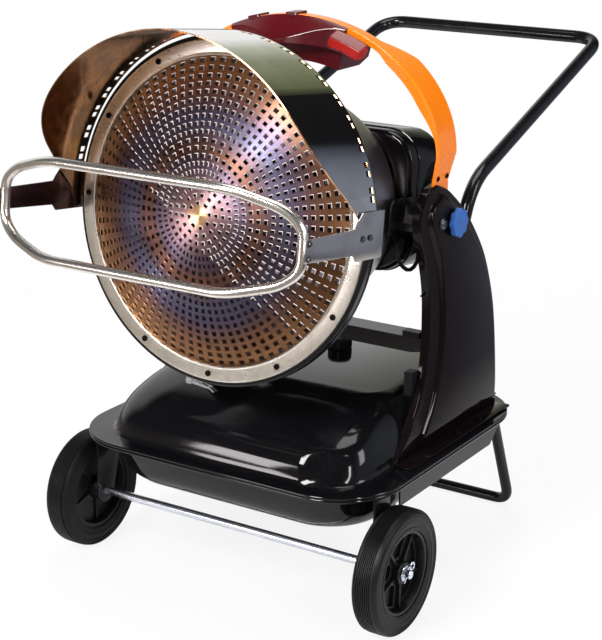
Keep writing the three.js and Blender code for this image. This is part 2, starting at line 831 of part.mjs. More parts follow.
function sideRail(side, label) {
  const top = TANK_TOP - FLANGE_SHEET * 2 - SEAT_GAP * 2;
  const inner = RAIL_FACE_X - RAIL_DEPTH;
  const web = RAIL_FACE_X - SHEET;
  const angle = [
    [inner, top],
    [inner, top - SHEET],
    [web, top - SHEET],
    [web, top - RAIL_HEIGHT],
    [RAIL_FACE_X, top - RAIL_HEIGHT],
    [RAIL_FACE_X, top],
  ];
  const bar = frontPlate(angle, -RAIL_REAR, -RAIL_FRONT - SEAT_GAP);
  const slope = [
    [RAIL_REAR - RAIL_HEIGHT, top - RAIL_HEIGHT - SHEET],
    [RAIL_REAR + SHEET, top - RAIL_HEIGHT - SHEET],
    [RAIL_REAR + SHEET, top - SHEET * 2],
  ];
  const rearCut = sidePlate(slope, inner, RAIL_FACE_X + OVERRUN);
  const mesh = piece(`side_rail_${label}`, cutBy(bar, rearCut), 'blackSatin');
  mesh.scale.x = side;
  return mesh;
}

// Tank

const DOME_SHARES = [
  [0, 0, 0, 0],
  [0.14, 0.03, 0.015, 0.04],
  [0.34, 0.12, 0.06, 0.13],
  [0.55, 0.27, 0.17, 0.3],
  [0.74, 0.47, 0.37, 0.5],
  [0.88, 0.7, 0.62, 0.72],
  [0.965, 0.88, 0.84, 0.88],
  [1, 1, 1, 1],
];

const PAN_SHARES = [
  [0, 0],
  [0.35, 0.1],
  [0.7, 0.34],
  [0.92, 0.7],
  [1, 1],
];

function tankOutline(sideInset, frontInset, rearInset, corner) {
  return roundedRectangle(
    -TANK_HALF_WIDTH + sideInset,
    TANK_HALF_WIDTH - sideInset,
    TANK_FRONT + frontInset,
    TANK_REAR - rearInset,
    corner,
  );
}

function flangePlate(topZ) {
  const outline = tankOutline(0, 0, 0, FLANGE_CORNER);
  return solidOf(slab(outline, FLANGE_SHEET, FLANGE_BEVEL).translate(0, 0, topZ - FLANGE_SHEET));
}

function tankDome(growth, base = TANK_TOP - FLANGE_SHEET / 2) {
  const rise = TANK_TOP + DOME_RISE + growth - base;
  return loft(
    DOME_SHARES.map(([riseShare, side, front, rear]) => ({
      z: base + rise * riseShare,
      outline: tankOutline(
        FLANGE_SIDE_WIDTH - growth + DOME_SIDE_INSET * side,
        FLANGE_WIDTH - growth + DOME_FRONT_INSET * front,
        FLANGE_WIDTH - growth + DOME_REAR_INSET * rear,
        DOME_CORNER,
      ),
    })),
  );
}

function dentCutter(growth) {
  const face = TANK_FRONT + FLANGE_WIDTH + DENT_DEPTH + growth;
  return box(
    DENT_WIDTH + growth * 2,
    OVERRUN,
    DENT_RISE + growth * 2,
    DENT_LEFT + DENT_WIDTH / 2,
    face - OVERRUN / 2,
    TANK_TOP + DENT_RISE / 2,
  );
}

function tankUpper() {
  const shell = joined(cutBy(tankDome(0), dentCutter(0)), flangePlate(TANK_TOP));
  const room = tankDome(-TANK_WALL, TANK_TOP - FLANGE_SHEET - OVERRUN / 4);
  const inside = cutBy(room, dentCutter(TANK_WALL));
  const fillerHole = revolvedUp(
    [
      [0, TANK_TOP],
      [NECK_BORE, TANK_TOP],
      [NECK_BORE, TANK_TOP + DOME_RISE + OVERRUN],
      [0, TANK_TOP + DOME_RISE + OVERRUN],
    ],
    ROUND_STEPS / 2,
  );
  const hollowed = cutBy(shell, inside, fillerHole.translate([FILLER_X, FILLER_Y, 0]));
  return piece('tank_upper', hollowed, 'blackGloss');
}

function panBody(growth, top) {
  return loft(
    [...PAN_SHARES].reverse().map(([drop, inset]) => {
      const margin = PAN_FLANGE_WIDTH - growth + PAN_INSET * inset;
      return { z: top - (PAN_DEPTH + growth) * drop, outline: tankOutline(margin, margin, margin, DOME_CORNER) };
    }),
  );
}

function tankLower() {
  const top = TANK_TOP - FLANGE_SHEET - SEAT_GAP;
  const shell = joined(panBody(0, top - FLANGE_SHEET / 2), flangePlate(top));
  const margin = PAN_FLANGE_WIDTH + TANK_WALL;
  const mouth = slab(tankOutline(margin, margin, margin, DOME_CORNER), OVERRUN);
  const base = top - FLANGE_SHEET / 2;
  const inside = joined(panBody(-TANK_WALL, base), solidOf(mouth.translate(0, 0, base)));
  return piece('tank_lower', cutBy(shell, inside), 'blackGloss');
}

function fillerNeck() {
  const base = TANK_TOP + DOME_RISE + SEAT_GAP;
  const neck = revolvedUp(
    closedProfile([
      [NECK_BORE, base],
      [NECK_RADIUS, base],
      [NECK_RADIUS, base + NECK_HEIGHT],
      [NECK_BORE, base + NECK_HEIGHT],
    ]),
    ROUND_STEPS / 2,
  );
  return piece('filler_neck', neck.translate([FILLER_X, FILLER_Y, 0]), 'blackSatin');
}

function fuelCap() {
  const base = TANK_TOP + DOME_RISE + CAP_REST;
  const top = base + CAP_HEIGHT + CAP_WALL;
  const skirt = NECK_RADIUS + BORE_CLEARANCE;
  const shell = revolvedUp(
    [
      [0, top],
      [CAP_RADIUS - CAP_WALL / 2, top],
      [CAP_RADIUS, top - CAP_WALL / 2],
      [CAP_RADIUS, base],
      [skirt, base],
      [skirt, base + CAP_HEIGHT],
      [0, base + CAP_HEIGHT],
    ],
    CAP_STEPS_ROUND,
  );
  const grips = [];
  for (let i = 0; i < CAP_GRIP_COUNT; i += 1) {
    const angle = (FULL_TURN * i) / CAP_GRIP_COUNT;
    const groove = new THREE.CylinderGeometry(CAP_GRIP_DEPTH, CAP_GRIP_DEPTH, CAP_HEIGHT * 2, WIRE_SIDES);
    const placed = groove.rotateX(Math.PI / 2);
    grips.push(
      solidOf(placed.translate(CAP_RADIUS * Math.cos(angle), CAP_RADIUS * Math.sin(angle), base)),
    );
  }
  return piece('fuel_cap', cutBy(shell, grips).translate([FILLER_X, FILLER_Y, 0]), 'blackPlastic');
}

function drainPlug() {
  const top = TANK_TOP - FLANGE_SHEET - FLANGE_SHEET / 2 - SEAT_GAP * 2 - PAN_DEPTH;
  const plug = new THREE.CylinderGeometry(DRAIN_RADIUS, DRAIN_RADIUS, DRAIN_HEIGHT, WIRE_SIDES);
  return piece(
    'drain_plug',
    solidOf(plug.rotateX(Math.PI / 2).translate(0, 0, top - DRAIN_HEIGHT / 2)),
    'zinc',
  );
}

// Side arms

// Shares of the arm's length from its front foot, and of its height from the flange.
const ARM_REAR_SHARES = [
  [1, 0],
  [1, 0.13],
  [0.965, 0.36],
  [0.92, 0.5],
  [0.845, 0.64],
  [0.755, 0.745],
  [0.63, 0.858],
  [0.52, 0.93],
  [0.44, 0.972],
  [0.357, 0.998],
];
const ARM_FRONT_SHARES = [
  [0.357, 0.998],
  [0.275, 0.982],
  [0.215, 0.925],
  [0.2, 0.865],
  [0.225, 0.795],
  [0.268, 0.71],
  [0.3, 0.6],
  [0.307, 0.48],
  [0.3, 0.37],
  [0.262, 0.25],
  [0.16, 0.115],
  [0, 0],
];
const PANEL_FRONT_SHARES = [
  [0.36, 0.955],
  [0.29, 0.93],
  [0.26, 0.875],
  [0.3, 0.8],
  [0.352, 0.71],
  [0.385, 0.6],
  [0.4, 0.46],
  [0.385, 0.34],
  [0.33, 0.18],
  [0.215, 0.035],
];

function armPoint([alongShare, riseShare]) {
  return [ARM_FOOT_Y + ARM_LENGTH * alongShare, TANK_TOP + SEAT_GAP + ARM_RISE * riseShare];
}

function armOutline() {
  const rear = smoothOutline(ARM_REAR_SHARES.map(armPoint), ARM_REAR_STEPS);
  const front = smoothOutline(ARM_FRONT_SHARES.map(armPoint), ARM_FRONT_STEPS);
  return [...rear, ...front.slice(1)];
}

function panelOutline() {
  const rear = insetOutline(armOutline(), ARM_PANEL_BORDER).slice(0, ARM_REAR_STEPS);
  const front = smoothOutline(PANEL_FRONT_SHARES.map(armPoint), ARM_REAR_STEPS);
  const floor = front.at(-1)[1];
  return [[rear[0][0], floor], ...rear.filter(([, z]) => z > floor + ARM_WALL), ...front];
}

function archLegCutter() {
  const width = ARCH_WIDTH + SEAT_GAP * 2;
  const thickness = SHEET + SEAT_GAP * 2;
  return box(
    thickness,
    width,
    ARM_RISE,
    archFootX() - SHEET / 2,
    ARCH_FRONT + ARCH_WIDTH / 2,
    ARCH_LEG_BOTTOM - SEAT_GAP + ARM_RISE / 2,
  );
}

function sideArm(side, label) {
  const outline = armOutline();
  const panel = panelOutline();
  const plate = sidePlate(outline, ARM_INNER_X, ARM_BORDER_X);
  const raised = sidePlate(panel, ARM_BORDER_X - ARM_WALL, ARM_FACE_X, ARM_BEVEL);
  const hollow = sidePlate(
    insetOutline(outline, ARM_WALL + ARM_BEVEL),
    ARM_INNER_X - OVERRUN,
    ARM_BORDER_X - ARM_WALL,
  );
  const panelHollow = sidePlate(
    insetOutline(panel, ARM_WALL + ARM_BEVEL),
    ARM_INNER_X - OVERRUN,
    ARM_FACE_X - ARM_WALL,
  );
  const footZ = TANK_TOP + SEAT_GAP;
  const foot = box(
    ARM_FOOT_WIDTH + ARM_WALL,
    ARM_LENGTH - ARM_BEVEL * 2,
    ARM_FOOT_SHEET,
    ARM_BORDER_X + (ARM_FOOT_WIDTH - ARM_WALL) / 2,
    ARM_FOOT_Y + ARM_LENGTH / 2,
    footZ + ARM_FOOT_SHEET / 2,
  );
  const tabRoot = ARM_FOOT_Y + ARM_LENGTH * ARM_TAB_SHARE;
  const tab = box(ARM_WALL, ARM_TAB_LENGTH * 2, SHEET, ARM_INNER_X + ARM_WALL, tabRoot, ARM_TAB_HEIGHT);
  const pivotHole = rodAlongX(
    PIVOT_BOLT_RADIUS + SEAT_GAP,
    ARM_INNER_X - OVERRUN,
    ARM_FACE_X + OVERRUN,
    0,
    PIVOT_HEIGHT,
  );
  const boss = rodAlongX(PIVOT_BOSS_RADIUS, ARM_INNER_X, ARM_BORDER_X, 0, PIVOT_HEIGHT);
  const studAt = studPlace();
  const studBoss = rodAlongX(
    STUD_BOSS_RADIUS,
    ARM_INNER_X,
    ARM_BORDER_X,
    studAt.y,
    studAt.z,
    ROUND_STEPS / 2,
  );
  const studHole = rodAlongX(
    STUD_RADIUS + SEAT_GAP,
    ARM_INNER_X - OVERRUN,
    ARM_FACE_X + OVERRUN,
    studAt.y,
    studAt.z,
    ROUND_STEPS / 2,
  );
  const shell = cutBy(joined(plate, raised), hollow, panelHollow);
  const body = joined(shell, foot, footBoltHeads(), tab, boss, studBoss);
  const relief = tankDome(BORE_CLEARANCE);
  const handleRoom = handleTube(HANDLE_TUBE + SEAT_GAP);
  const whole = cutBy(body, pivotHole, studHole, archLegCutter(), relief, handleRoom);
  const mesh = piece(`side_arm_${label}`, whole, 'blackGloss');
  mesh.scale.x = side;
  return mesh;
}

function studPlace() {
  const angle = THREE.MathUtils.degToRad(STUD_REST_DEGREES);
  return {
    y: STUD_OFFSET * Math.cos(angle),
    z: PIVOT_HEIGHT - STUD_OFFSET * Math.sin(angle),
  };
}

// Shares of the foot's length where its bolts stand.
const FOOT_BOLT_SHARES = [0.09, 0.5, 0.72];

function footBoltHeads() {
  const top = TANK_TOP + SEAT_GAP + ARM_FOOT_SHEET;
  const x = ARM_BORDER_X + ARM_FOOT_WIDTH - FOOT_BOLT_RADIUS * 2;
  return FOOT_BOLT_SHARES.map((share) => {
    const head = new THREE.CylinderGeometry(FOOT_BOLT_RADIUS, FOOT_BOLT_RADIUS, FOOT_BOLT_HEIGHT, WIRE_SIDES);
    return solidOf(head.rotateX(Math.PI / 2).translate(x, ARM_FOOT_Y + ARM_LENGTH * share, top));
  });
}

function sideBlock() {
  const block = box(
    SIDE_BLOCK_WIDTH,
    SIDE_BLOCK_LENGTH,
    SIDE_BLOCK_HEIGHT,
    ARM_INNER_X - SEAT_GAP - SIDE_BLOCK_WIDTH / 2,
    SIDE_BLOCK_Y,
    SIDE_BLOCK_Z,
  );
  return piece('arm_side_block', block, 'blackPlastic');
}

function tie() {
  const half = ARM_BORDER_X - ARM_WALL - SEAT_GAP;
  const low = TIE_TOP - TIE_HEIGHT;
  const face = [
    [-half, TIE_TOP],
    [-half, low + TIE_END_RISE],
    [-half + TIE_KNEE_RUN, low + TIE_KNEE_RISE],
    [-half + TIE_END_RUN, low],
    [half - TIE_END_RUN, low],
    [half - TIE_KNEE_RUN, low + TIE_KNEE_RISE],
    [half, low + TIE_END_RISE],
    [half, TIE_TOP],
  ];
  const front = frontPlate(face, -TIE_FRONT - SHEET, -TIE_FRONT);
  const rear = frontPlate(face, -TIE_FRONT - TIE_DEPTH, -TIE_FRONT - TIE_DEPTH + SHEET);
  const top = box(half * 2, TIE_DEPTH, SHEET, 0, TIE_FRONT + TIE_DEPTH / 2, TIE_TOP - SHEET / 2);
  return piece('arm_tie', joined(front, rear, top), 'blackSatin');
}

function tieClip() {
  const clip = box(
    CLIP_LENGTH,
    CLIP_WIDTH,
    CLIP_HEIGHT,
    CLIP_X,
    TIE_FRONT + CLIP_WIDTH / 2,
    TIE_TOP + SEAT_GAP + CLIP_HEIGHT / 2,
  );
  return piece('tie_clip', clip, 'blackPlastic');
}

// Arch

// Where the legs' outer faces stand inside the arms.
function archFootX() {
  return ARM_BORDER_X - ARM_WALL - SEAT_GAP;
}

// A point of the arch's ellipse, drawn in from its outer face by an inset.
function archPoint(degrees, inset) {
  const angle = THREE.MathUtils.degToRad(degrees);
  return [
    (ARCH_HALF_WIDTH - inset) * Math.cos(angle),
    ARCH_CENTRE_HEIGHT + (ARCH_RISE - inset) * Math.sin(angle),
  ];
}

function archCurve(fromDegrees, toDegrees, insetAt) {
  const points = [];
  for (let i = 0; i <= ARCH_STEPS; i += 1) {
    const degrees = fromDegrees + ((toDegrees - fromDegrees) * i) / ARCH_STEPS;
    points.push(archPoint(degrees, insetAt(degrees)));
  }
  return points;
}

function archBand() {
  const footX = archFootX();
  const outline = [
    [footX, ARCH_LEG_BOTTOM],
    [footX, ARCH_LEG_BEND],
    ...archCurve(0, HALF_CIRCLE, () => 0),
    [-footX, ARCH_LEG_BEND],
    [-footX, ARCH_LEG_BOTTOM],
    [-footX + SHEET, ARCH_LEG_BOTTOM],
    [-footX + SHEET, ARCH_LEG_BEND],
    ...archCurve(HALF_CIRCLE, 0, () => SHEET),
    [footX - SHEET, ARCH_LEG_BEND],
    [footX - SHEET, ARCH_LEG_BOTTOM],
  ];
  return frontPlate(outline, -ARCH_FRONT - ARCH_WIDTH, -ARCH_FRONT);
}

// The front lip is deepest on the shoulders and dies away at the crown and at the feet.
function lipDepth(degrees) {
  const fromSide = Math.min(degrees, HALF_CIRCLE - degrees);
  const rise = THREE.MathUtils.smoothstep(fromSide, ARCH_LIP_FROM, ARCH_LIP_TO);
  const fade = THREE.MathUtils.smoothstep(fromSide, ARCH_LIP_FADE_FROM, ARCH_LIP_FADE_TO);
  return SHEET + (ARCH_LIP - SHEET) * rise * (1 - fade / 2);
}

function archLip() {
  const outline = [
    ...archCurve(0, HALF_CIRCLE, () => SHEET / 2),
    ...archCurve(HALF_CIRCLE, 0, lipDepth),
  ];
  return frontPlate(outline, -ARCH_FRONT - SHEET, -ARCH_FRONT);
}

// What is cut from behind the crown, which is narrower than the shoulders.
function crownCutter() {
  const rear = ARCH_FRONT + ARCH_WIDTH;
  const crownRear = ARCH_FRONT + ARCH_CROWN_WIDTH;
  const plan = [
    [-ARCH_CROWN_HALF, crownRear],
    [ARCH_CROWN_HALF, crownRear],
    [ARCH_WING_HALF, rear],
    [ARCH_WING_HALF, rear + OVERRUN],
    [-ARCH_WING_HALF, rear + OVERRUN],
    [-ARCH_WING_HALF, rear],
  ];
  return solidOf(slab(plan, ARCH_RISE + OVERRUN).translate(0, 0, ARCH_CENTRE_HEIGHT));
}

// What is cut from the front edge of the feet, which stand back from the shoulders.
function footCutter() {
  const front = ARCH_FRONT - OVERRUN;
  const outline = [
    [front, ARCH_LEG_BOTTOM - OVERRUN],
    [ARCH_FRONT + ARCH_FOOT_SETBACK, ARCH_LEG_BOTTOM - OVERRUN],
    [ARCH_FRONT + ARCH_FOOT_SETBACK, ARCH_LEG_BEND],
    [ARCH_FRONT, ARCH_CENTRE_HEIGHT],
    [front, ARCH_CENTRE_HEIGHT],
  ];
  return sidePlate(outline, -ARCH_HALF_WIDTH - OVERRUN, ARCH_HALF_WIDTH + OVERRUN);
}

function arch() {
  const band = cutBy(joined(archBand(), archLip()), crownCutter(), footCutter());
  return piece('arch', joined(band, archScrewHeads()), 'orange');
}

function archScrewHeads() {
  const heads = [];
  const leanShare = (ARCH_SCREW_Z - ARCH_LEG_BEND) / (ARCH_CENTRE_HEIGHT - ARCH_LEG_BEND);
  const legX = archFootX() + (ARCH_HALF_WIDTH - archFootX()) * leanShare;
  const middleY = ARCH_FRONT + (ARCH_WIDTH + ARCH_FOOT_SETBACK) / 2;
  for (const side of [-1, 1]) {
    for (const place of [-1, 1]) {
      const head = new THREE.CylinderGeometry(
        ARCH_SCREW_RADIUS * SCREW_CROWN_SHARE,
        ARCH_SCREW_RADIUS,
        ARCH_SCREW_HEIGHT,
        SCREW_SIDES,
      );
      const x = side * (legX + ARCH_SCREW_HEIGHT / 4);
      const y = middleY + (place * ARCH_SCREW_SPACING) / 2;
      heads.push(solidOf(head.rotateZ((-side * Math.PI) / 2).translate(x, y, ARCH_SCREW_Z)));
    }
  }
  return heads;
}

// Control box

// The direction from the crown's centre to a place across the crown, in degrees.
function crownDegrees(x) {
  return THREE.MathUtils.radToDeg(Math.acos(x / CROWN_RADIUS));
}

// A closed (drop below the crown, along Y) profile swept round the crown between two places.
function archSweep(profile, fromX, toX, steps) {
  const fromDegrees = crownDegrees(fromX);
  const toDegrees = crownDegrees(toX);
  const segments = Math.round((steps * CIRCLE) / (toDegrees - fromDegrees));
  const reach = CROWN_RADIUS * 2;
  const wedge = [[0, 0], ...arcPoints(0, 0, reach, fromDegrees, toDegrees, steps)];
  const round = profile.map(([drop, y]) => [CROWN_RADIUS - drop, y]);
  const ring = solidOf(revolved(closedProfile(round), segments));
  const swept = ring.intersect(frontPlate(wedge, -reach, reach));
  return swept.translate([0, 0, ARCH_TOP - CROWN_RADIUS]);
}

// The hood's outline from above: bowed forward in the middle, shallow at both ends.
function hoodPlan() {
  const middle = (CONSOLE_LEFT_X + CONSOLE_RIGHT_X) / 2;
  const half = (CONSOLE_RIGHT_X - CONSOLE_LEFT_X) / 2;
  const front = [];
  for (let i = 0; i <= HOOD_BOW_STEPS; i += 1) {
    const share = (2 * i) / HOOD_BOW_STEPS - 1;
    const bow = Math.cos((share * Math.PI) / 2) ** 2;
    const depth = HOOD_EDGE + (HOOD_DEPTH - HOOD_EDGE) * bow;
    front.push([middle + half * share, ARCH_FRONT - SEAT_GAP - depth]);
  }
  return [
    [middle + half + OVERRUN, front.at(-1)[1]],
    [middle + half + OVERRUN, 0],
    [middle - half - OVERRUN, 0],
    [middle - half - OVERRUN, front[0][1]],
    ...front,
  ];
}

function consoleHood() {
  const back = ARCH_FRONT - SEAT_GAP;
  const swept = archSweep(
    [
      [0, back],
      [HOOD_DROP, back - HOOD_DEPTH - HOOD_LEDGE],
      [HOOD_CHIN, back - HOOD_DEPTH - HOOD_LEDGE],
      [HOOD_CHIN, back],
    ],
    CONSOLE_RIGHT_X,
    CONSOLE_LEFT_X,
    CONSOLE_STEPS,
  );
  const plan = solidOf(slab(hoodPlan(), OVERRUN * 2).translate(0, 0, ARCH_TOP - OVERRUN - HOOD_CHIN / 2));
  return piece('console_hood', joined(swept.intersect(plan), consoleStraps()), 'maroon');
}

function consoleStraps() {
  const front = ARCH_FRONT - SEAT_GAP - STRAP_THICKNESS;
  const rear = ARCH_FRONT + ARCH_CROWN_WIDTH + SEAT_GAP;
  const profile = [
    [STRAP_ROOT, front],
    [-SEAT_GAP - STRAP_THICKNESS, front],
    [-SEAT_GAP - STRAP_THICKNESS, rear + STRAP_THICKNESS],
    [BODY_TOP_DROP - SEAT_GAP, rear + STRAP_THICKNESS],
    [BODY_TOP_DROP - SEAT_GAP, rear],
    [-SEAT_GAP, rear],
    [-SEAT_GAP, ARCH_FRONT - SEAT_GAP],
    [STRAP_ROOT, ARCH_FRONT - SEAT_GAP],
  ];
  return [STRAP_LEFT_X, STRAP_RIGHT_X].map((x) =>
    archSweep(profile, x + STRAP_WIDTH / 2, x - STRAP_WIDTH / 2, STRAP_STEPS),
  );
}

function consoleBody() {
  const front = ARCH_FRONT + BODY_FRONT;
  const rear = panelFaceY();
  const profile = [
    [BODY_DROP, front],
    [BODY_DROP, rear - BODY_CHAMFER * 2],
    [BODY_DROP - BODY_CHAMFER, rear],
    [BODY_TOP_DROP + BODY_CHAMFER / 2, rear],
    [BODY_TOP_DROP, rear - BODY_CHAMFER],
    [BODY_TOP_DROP, front],
  ];
  const body = archSweep(profile, CONSOLE_RIGHT_X, CONSOLE_LEFT_X, CONSOLE_STEPS);
  return piece('console_body', cutBy(body, switchPocket()), 'maroon');
}

function consoleCap() {
  const back = ARCH_FRONT - SEAT_GAP;
  const profile = [
    [CAP_TOP_DROP, back],
    [CAP_SLOPE_DROP, back - CAP_DEPTH],
    [CAP_DROP, back - CAP_DEPTH],
    [CAP_DROP, back],
  ];
  const cap = archSweep(profile, CONSOLE_CAP_X, CONSOLE_RIGHT_X + SEAT_GAP, CAP_STEPS);
  return piece('console_end_cap', cap, 'red');
}

function panelFaceY() {
  return ARCH_FRONT + BODY_FRONT + BODY_DEPTH;
}

// The rocker turns in a pocket of the control box, about an axis just under the box's rear face.
function switchPocket() {
  return box(
    SWITCH_WIDTH + SWITCH_PLAY * 2,
    SWITCH_DEPTH * 2,
    SWITCH_HEIGHT + SWITCH_PLAY * 2 + SWITCH_SWEEP,
    SWITCH_X,
    panelFaceY(),
    CONSOLE_PANEL_HEIGHT,
  );
}

function powerSwitch() {
  const half = SWITCH_HEIGHT / 2;
  const profile = [
    [-SWITCH_DEPTH / 2, -half * SWITCH_ROOT_SHARE],
    [SWITCH_DEPTH * SWITCH_LIP_SHARE, -half],
    [SWITCH_DEPTH * SWITCH_DIP_SHARE, 0],
    [SWITCH_DEPTH * SWITCH_LIP_SHARE, half],
    [-SWITCH_DEPTH / 2, half * SWITCH_ROOT_SHARE],
  ];
  const rocker = besideX(slab(profile, SWITCH_WIDTH)).translate(-SWITCH_WIDTH / 2, 0, 0);
  const mesh = piece('power_switch', solidOf(rocker), 'blackPlastic');
  mesh.rotation.x = THREE.MathUtils.degToRad(SWITCH_TILT_DEGREES);
  mesh.position.set(SWITCH_X, panelFaceY() - SWITCH_PLAY, CONSOLE_PANEL_HEIGHT);
  return mesh;
}

function thermostatDial() {
  const face = panelFaceY() + SEAT_GAP;
  const outline = lobedOutline(DIAL_RADIUS, DIAL_RIB_DEPTH, DIAL_RIB_COUNT, 2);
  const dial = frontPlate(outline, -face - DIAL_HEIGHT, -face);
  return piece('thermostat_dial', dial.translate([DIAL_X, 0, CONSOLE_PANEL_HEIGHT]), 'blackPlastic');
}

function lobedOutline(radius, depth, lobes, stepsPerLobe) {
  const points = [];
  const count = lobes * stepsPerLobe * 2;
  for (let i = 0; i < count; i += 1) {
    const angle = (FULL_TURN * i) / count;
    const r = radius - (depth * (1 - Math.cos(angle * lobes))) / 2;
    points.push([r * Math.cos(angle), r * Math.sin(angle)]);
  }
  return points;
}

// Push handle and rear foot

function handleTube(radius) {
  const footX = ARM_BORDER_X - ARM_WALL - SEAT_GAP - HANDLE_TUBE;
  const leg = (side) => [
    new THREE.Vector3(side * footX, HANDLE_FOOT_Y, HANDLE_FOOT_Z),
    new THREE.Vector3(side * footX, HANDLE_KNEE_Y, HANDLE_KNEE_Z),
    new THREE.Vector3(side * HANDLE_HALF_WIDTH, HANDLE_REACH, HANDLE_HEIGHT),
  ];
  return bentTube([...leg(1), ...leg(-1).reverse()], HANDLE_BEND, BEND_STEPS, radius);
}

function pushHandle() {
  return piece('push_handle', handleTube(HANDLE_TUBE), 'blackSatin');
}

function rearFoot() {
  const foot = (side) => [
    new THREE.Vector3(side * (FOOT_HALF_WIDTH - FOOT_TUBE), FOOT_TOP_Y - FOOT_BEND, FOOT_TOP_Z - FOOT_TUBE),
    new THREE.Vector3(side * (FOOT_HALF_WIDTH - FOOT_TUBE), FOOT_TOP_Y, FOOT_TOP_Z - FOOT_TUBE),
    new THREE.Vector3(side * FOOT_HALF_WIDTH, FOOT_REACH, FOOT_TUBE),
  ];
  const corners = [...foot(1), ...foot(-1).reverse()];
  return piece('rear_foot', bentTube(corners, FOOT_BEND, BEND_STEPS, FOOT_TUBE), 'blackSatin');
}

// Head

const DISC_EDGE = RING_FRONT - RING_SHEET - DISC_SEAT;

function emissionDisc() {
  const sphere = (DISC_RADIUS ** 2 + DISC_BULGE ** 2) / (2 * DISC_BULGE);
  const front = [];
  for (let i = 0; i <= DISC_STEPS; i += 1) {
    const radius = (DISC_RADIUS * i) / DISC_STEPS;
    front.push([radius, DISC_EDGE + DISC_BULGE - sphere + Math.sqrt(sphere ** 2 - radius ** 2)]);
  }
  const back = front.map(([radius, height]) => [radius, height - DISC_SHEET]).reverse();
  const dish = revolvedForward([...front, ...back], RING_SEGMENTS);
  const holes = [];
  for (let row = 0; row < PERFORATION_ROWS; row += 1) {
    const radius = PERFORATION_FIRST + PERFORATION_ROW_STEP * row;
    const count = Math.round((FULL_TURN * radius) / PERFORATION_PITCH);
    for (let i = 0; i < count; i += 1) {
      const angle = (FULL_TURN * (i + (row % 2) / 2)) / count;
      const punch = new THREE.BoxGeometry(PERFORATION_LENGTH, DISC_RADIUS, PERFORATION_WIDTH);
      punch.translate(radius, -DISC_EDGE, 0).rotateY(angle);
      holes.push(solidOf(punch));
    }
  }
  return piece('emission_disc', cutBy(dish, joined(holes)), 'heatTint');
}

function frontRing() {
  const inner = RING_RADIUS - RING_WIDTH;
  const seat = RING_FRONT - RING_SHEET;
  const ring = revolvedForward(
    closedProfile([
      [inner, seat],
      [inner, RING_FRONT],
      [inner + BEAD_WIDTH / 2, RING_FRONT + BEAD_HEIGHT],
      [inner + BEAD_WIDTH, RING_FRONT],
      [RING_RADIUS - RING_SHEET / 2, RING_FRONT],
      [RING_RADIUS, RING_FRONT - RING_SHEET / 2],
      [RING_RADIUS, RING_FRONT - RING_RIM_DEPTH],
      [RING_RADIUS - RING_SHEET, RING_FRONT - RING_RIM_DEPTH],
      [RING_RADIUS - RING_SHEET, seat],
    ]),
    RING_SEGMENTS,
  );
  return piece('front_ring', joined(ring, ringScrewHeads()), 'stainless');
}

function ringScrewHeads() {
  const heads = [];
  for (let i = 0; i < RING_SCREW_COUNT; i += 1) {
    const angle = (FULL_TURN * i) / RING_SCREW_COUNT;
    const head = rodForward(
      RING_SCREW_RADIUS,
      RING_FRONT - RING_SHEET / 2,
      RING_FRONT + RING_SCREW_HEIGHT,
      RING_SCREW_CIRCLE * Math.cos(angle),
      RING_SCREW_CIRCLE * Math.sin(angle),
      6,
    );
    heads.push(head);
  }
  return heads;
}

function clampBand() {
  const inner = RING_RADIUS + SEAT_GAP;
  const rear = BAND_FRONT - BAND_WIDTH;
  const band = revolvedForward(
    closedProfile([
      [inner, BAND_FRONT],
      [BAND_RADIUS - BAND_SHEET, BAND_FRONT],
      [BAND_RADIUS, BAND_FRONT - BAND_SHEET],
      [BAND_RADIUS, rear + BAND_SHEET],
      [BAND_RADIUS - BAND_SHEET, rear],
      [inner, rear],
    ]),
    RING_SEGMENTS,
  );
  return piece('clamp_band', band, 'blackSatin');
}

// Shares of the drum's radius, and of its depth from the ring's rim to the burner.
const DRUM_SHARES = [
  [0.985, 0],
  [0.985, 0.26],
  [0.955, 0.39],
  [0.88, 0.52],
  [0.78, 0.65],
  [0.64, 0.775],
  [0.5, 0.89],
  [0.42, 1],
];
const DRUM_FRONT = RING_FRONT - RING_SHEET - SEAT_GAP;
const DRUM_DEPTH = DRUM_FRONT - BURNER_TUBE_REAR - DRUM_WALL;

function drumProfile(growth) {
  const wall = DRUM_SHARES.map(([radiusShare, depthShare]) => [
    RING_RADIUS * radiusShare + growth,
    DRUM_FRONT - (DRUM_DEPTH + growth) * depthShare,
  ]);
  return [...wall, [BURNER_TUBE_RADIUS + SEAT_GAP, wall.at(-1)[1]]];
}

function drum() {
  const outer = drumProfile(0);
  const inner = drumProfile(-DRUM_WALL).reverse();
  return piece('drum', revolvedForward(closedProfile([...outer, ...inner]), RING_SEGMENTS), 'darkSteel');
}

function combustionChamber() {
  const wall = DRUM_WALL;
  const chamber = revolvedForward(
    closedProfile([
      [CHAMBER_RADIUS, CHAMBER_FRONT],
      [CHAMBER_RADIUS - wall, CHAMBER_FRONT],
      [CHAMBER_RADIUS - wall, CHAMBER_REAR + wall],
      [BURNER_TUBE_RADIUS + SEAT_GAP, CHAMBER_REAR + wall],
      [BURNER_TUBE_RADIUS + SEAT_GAP, CHAMBER_REAR],
      [CHAMBER_RADIUS, CHAMBER_REAR],
    ]),
    DISC_SEGMENTS / 2,
  );
  return piece('combustion_chamber', chamber, 'darkSteel');
}

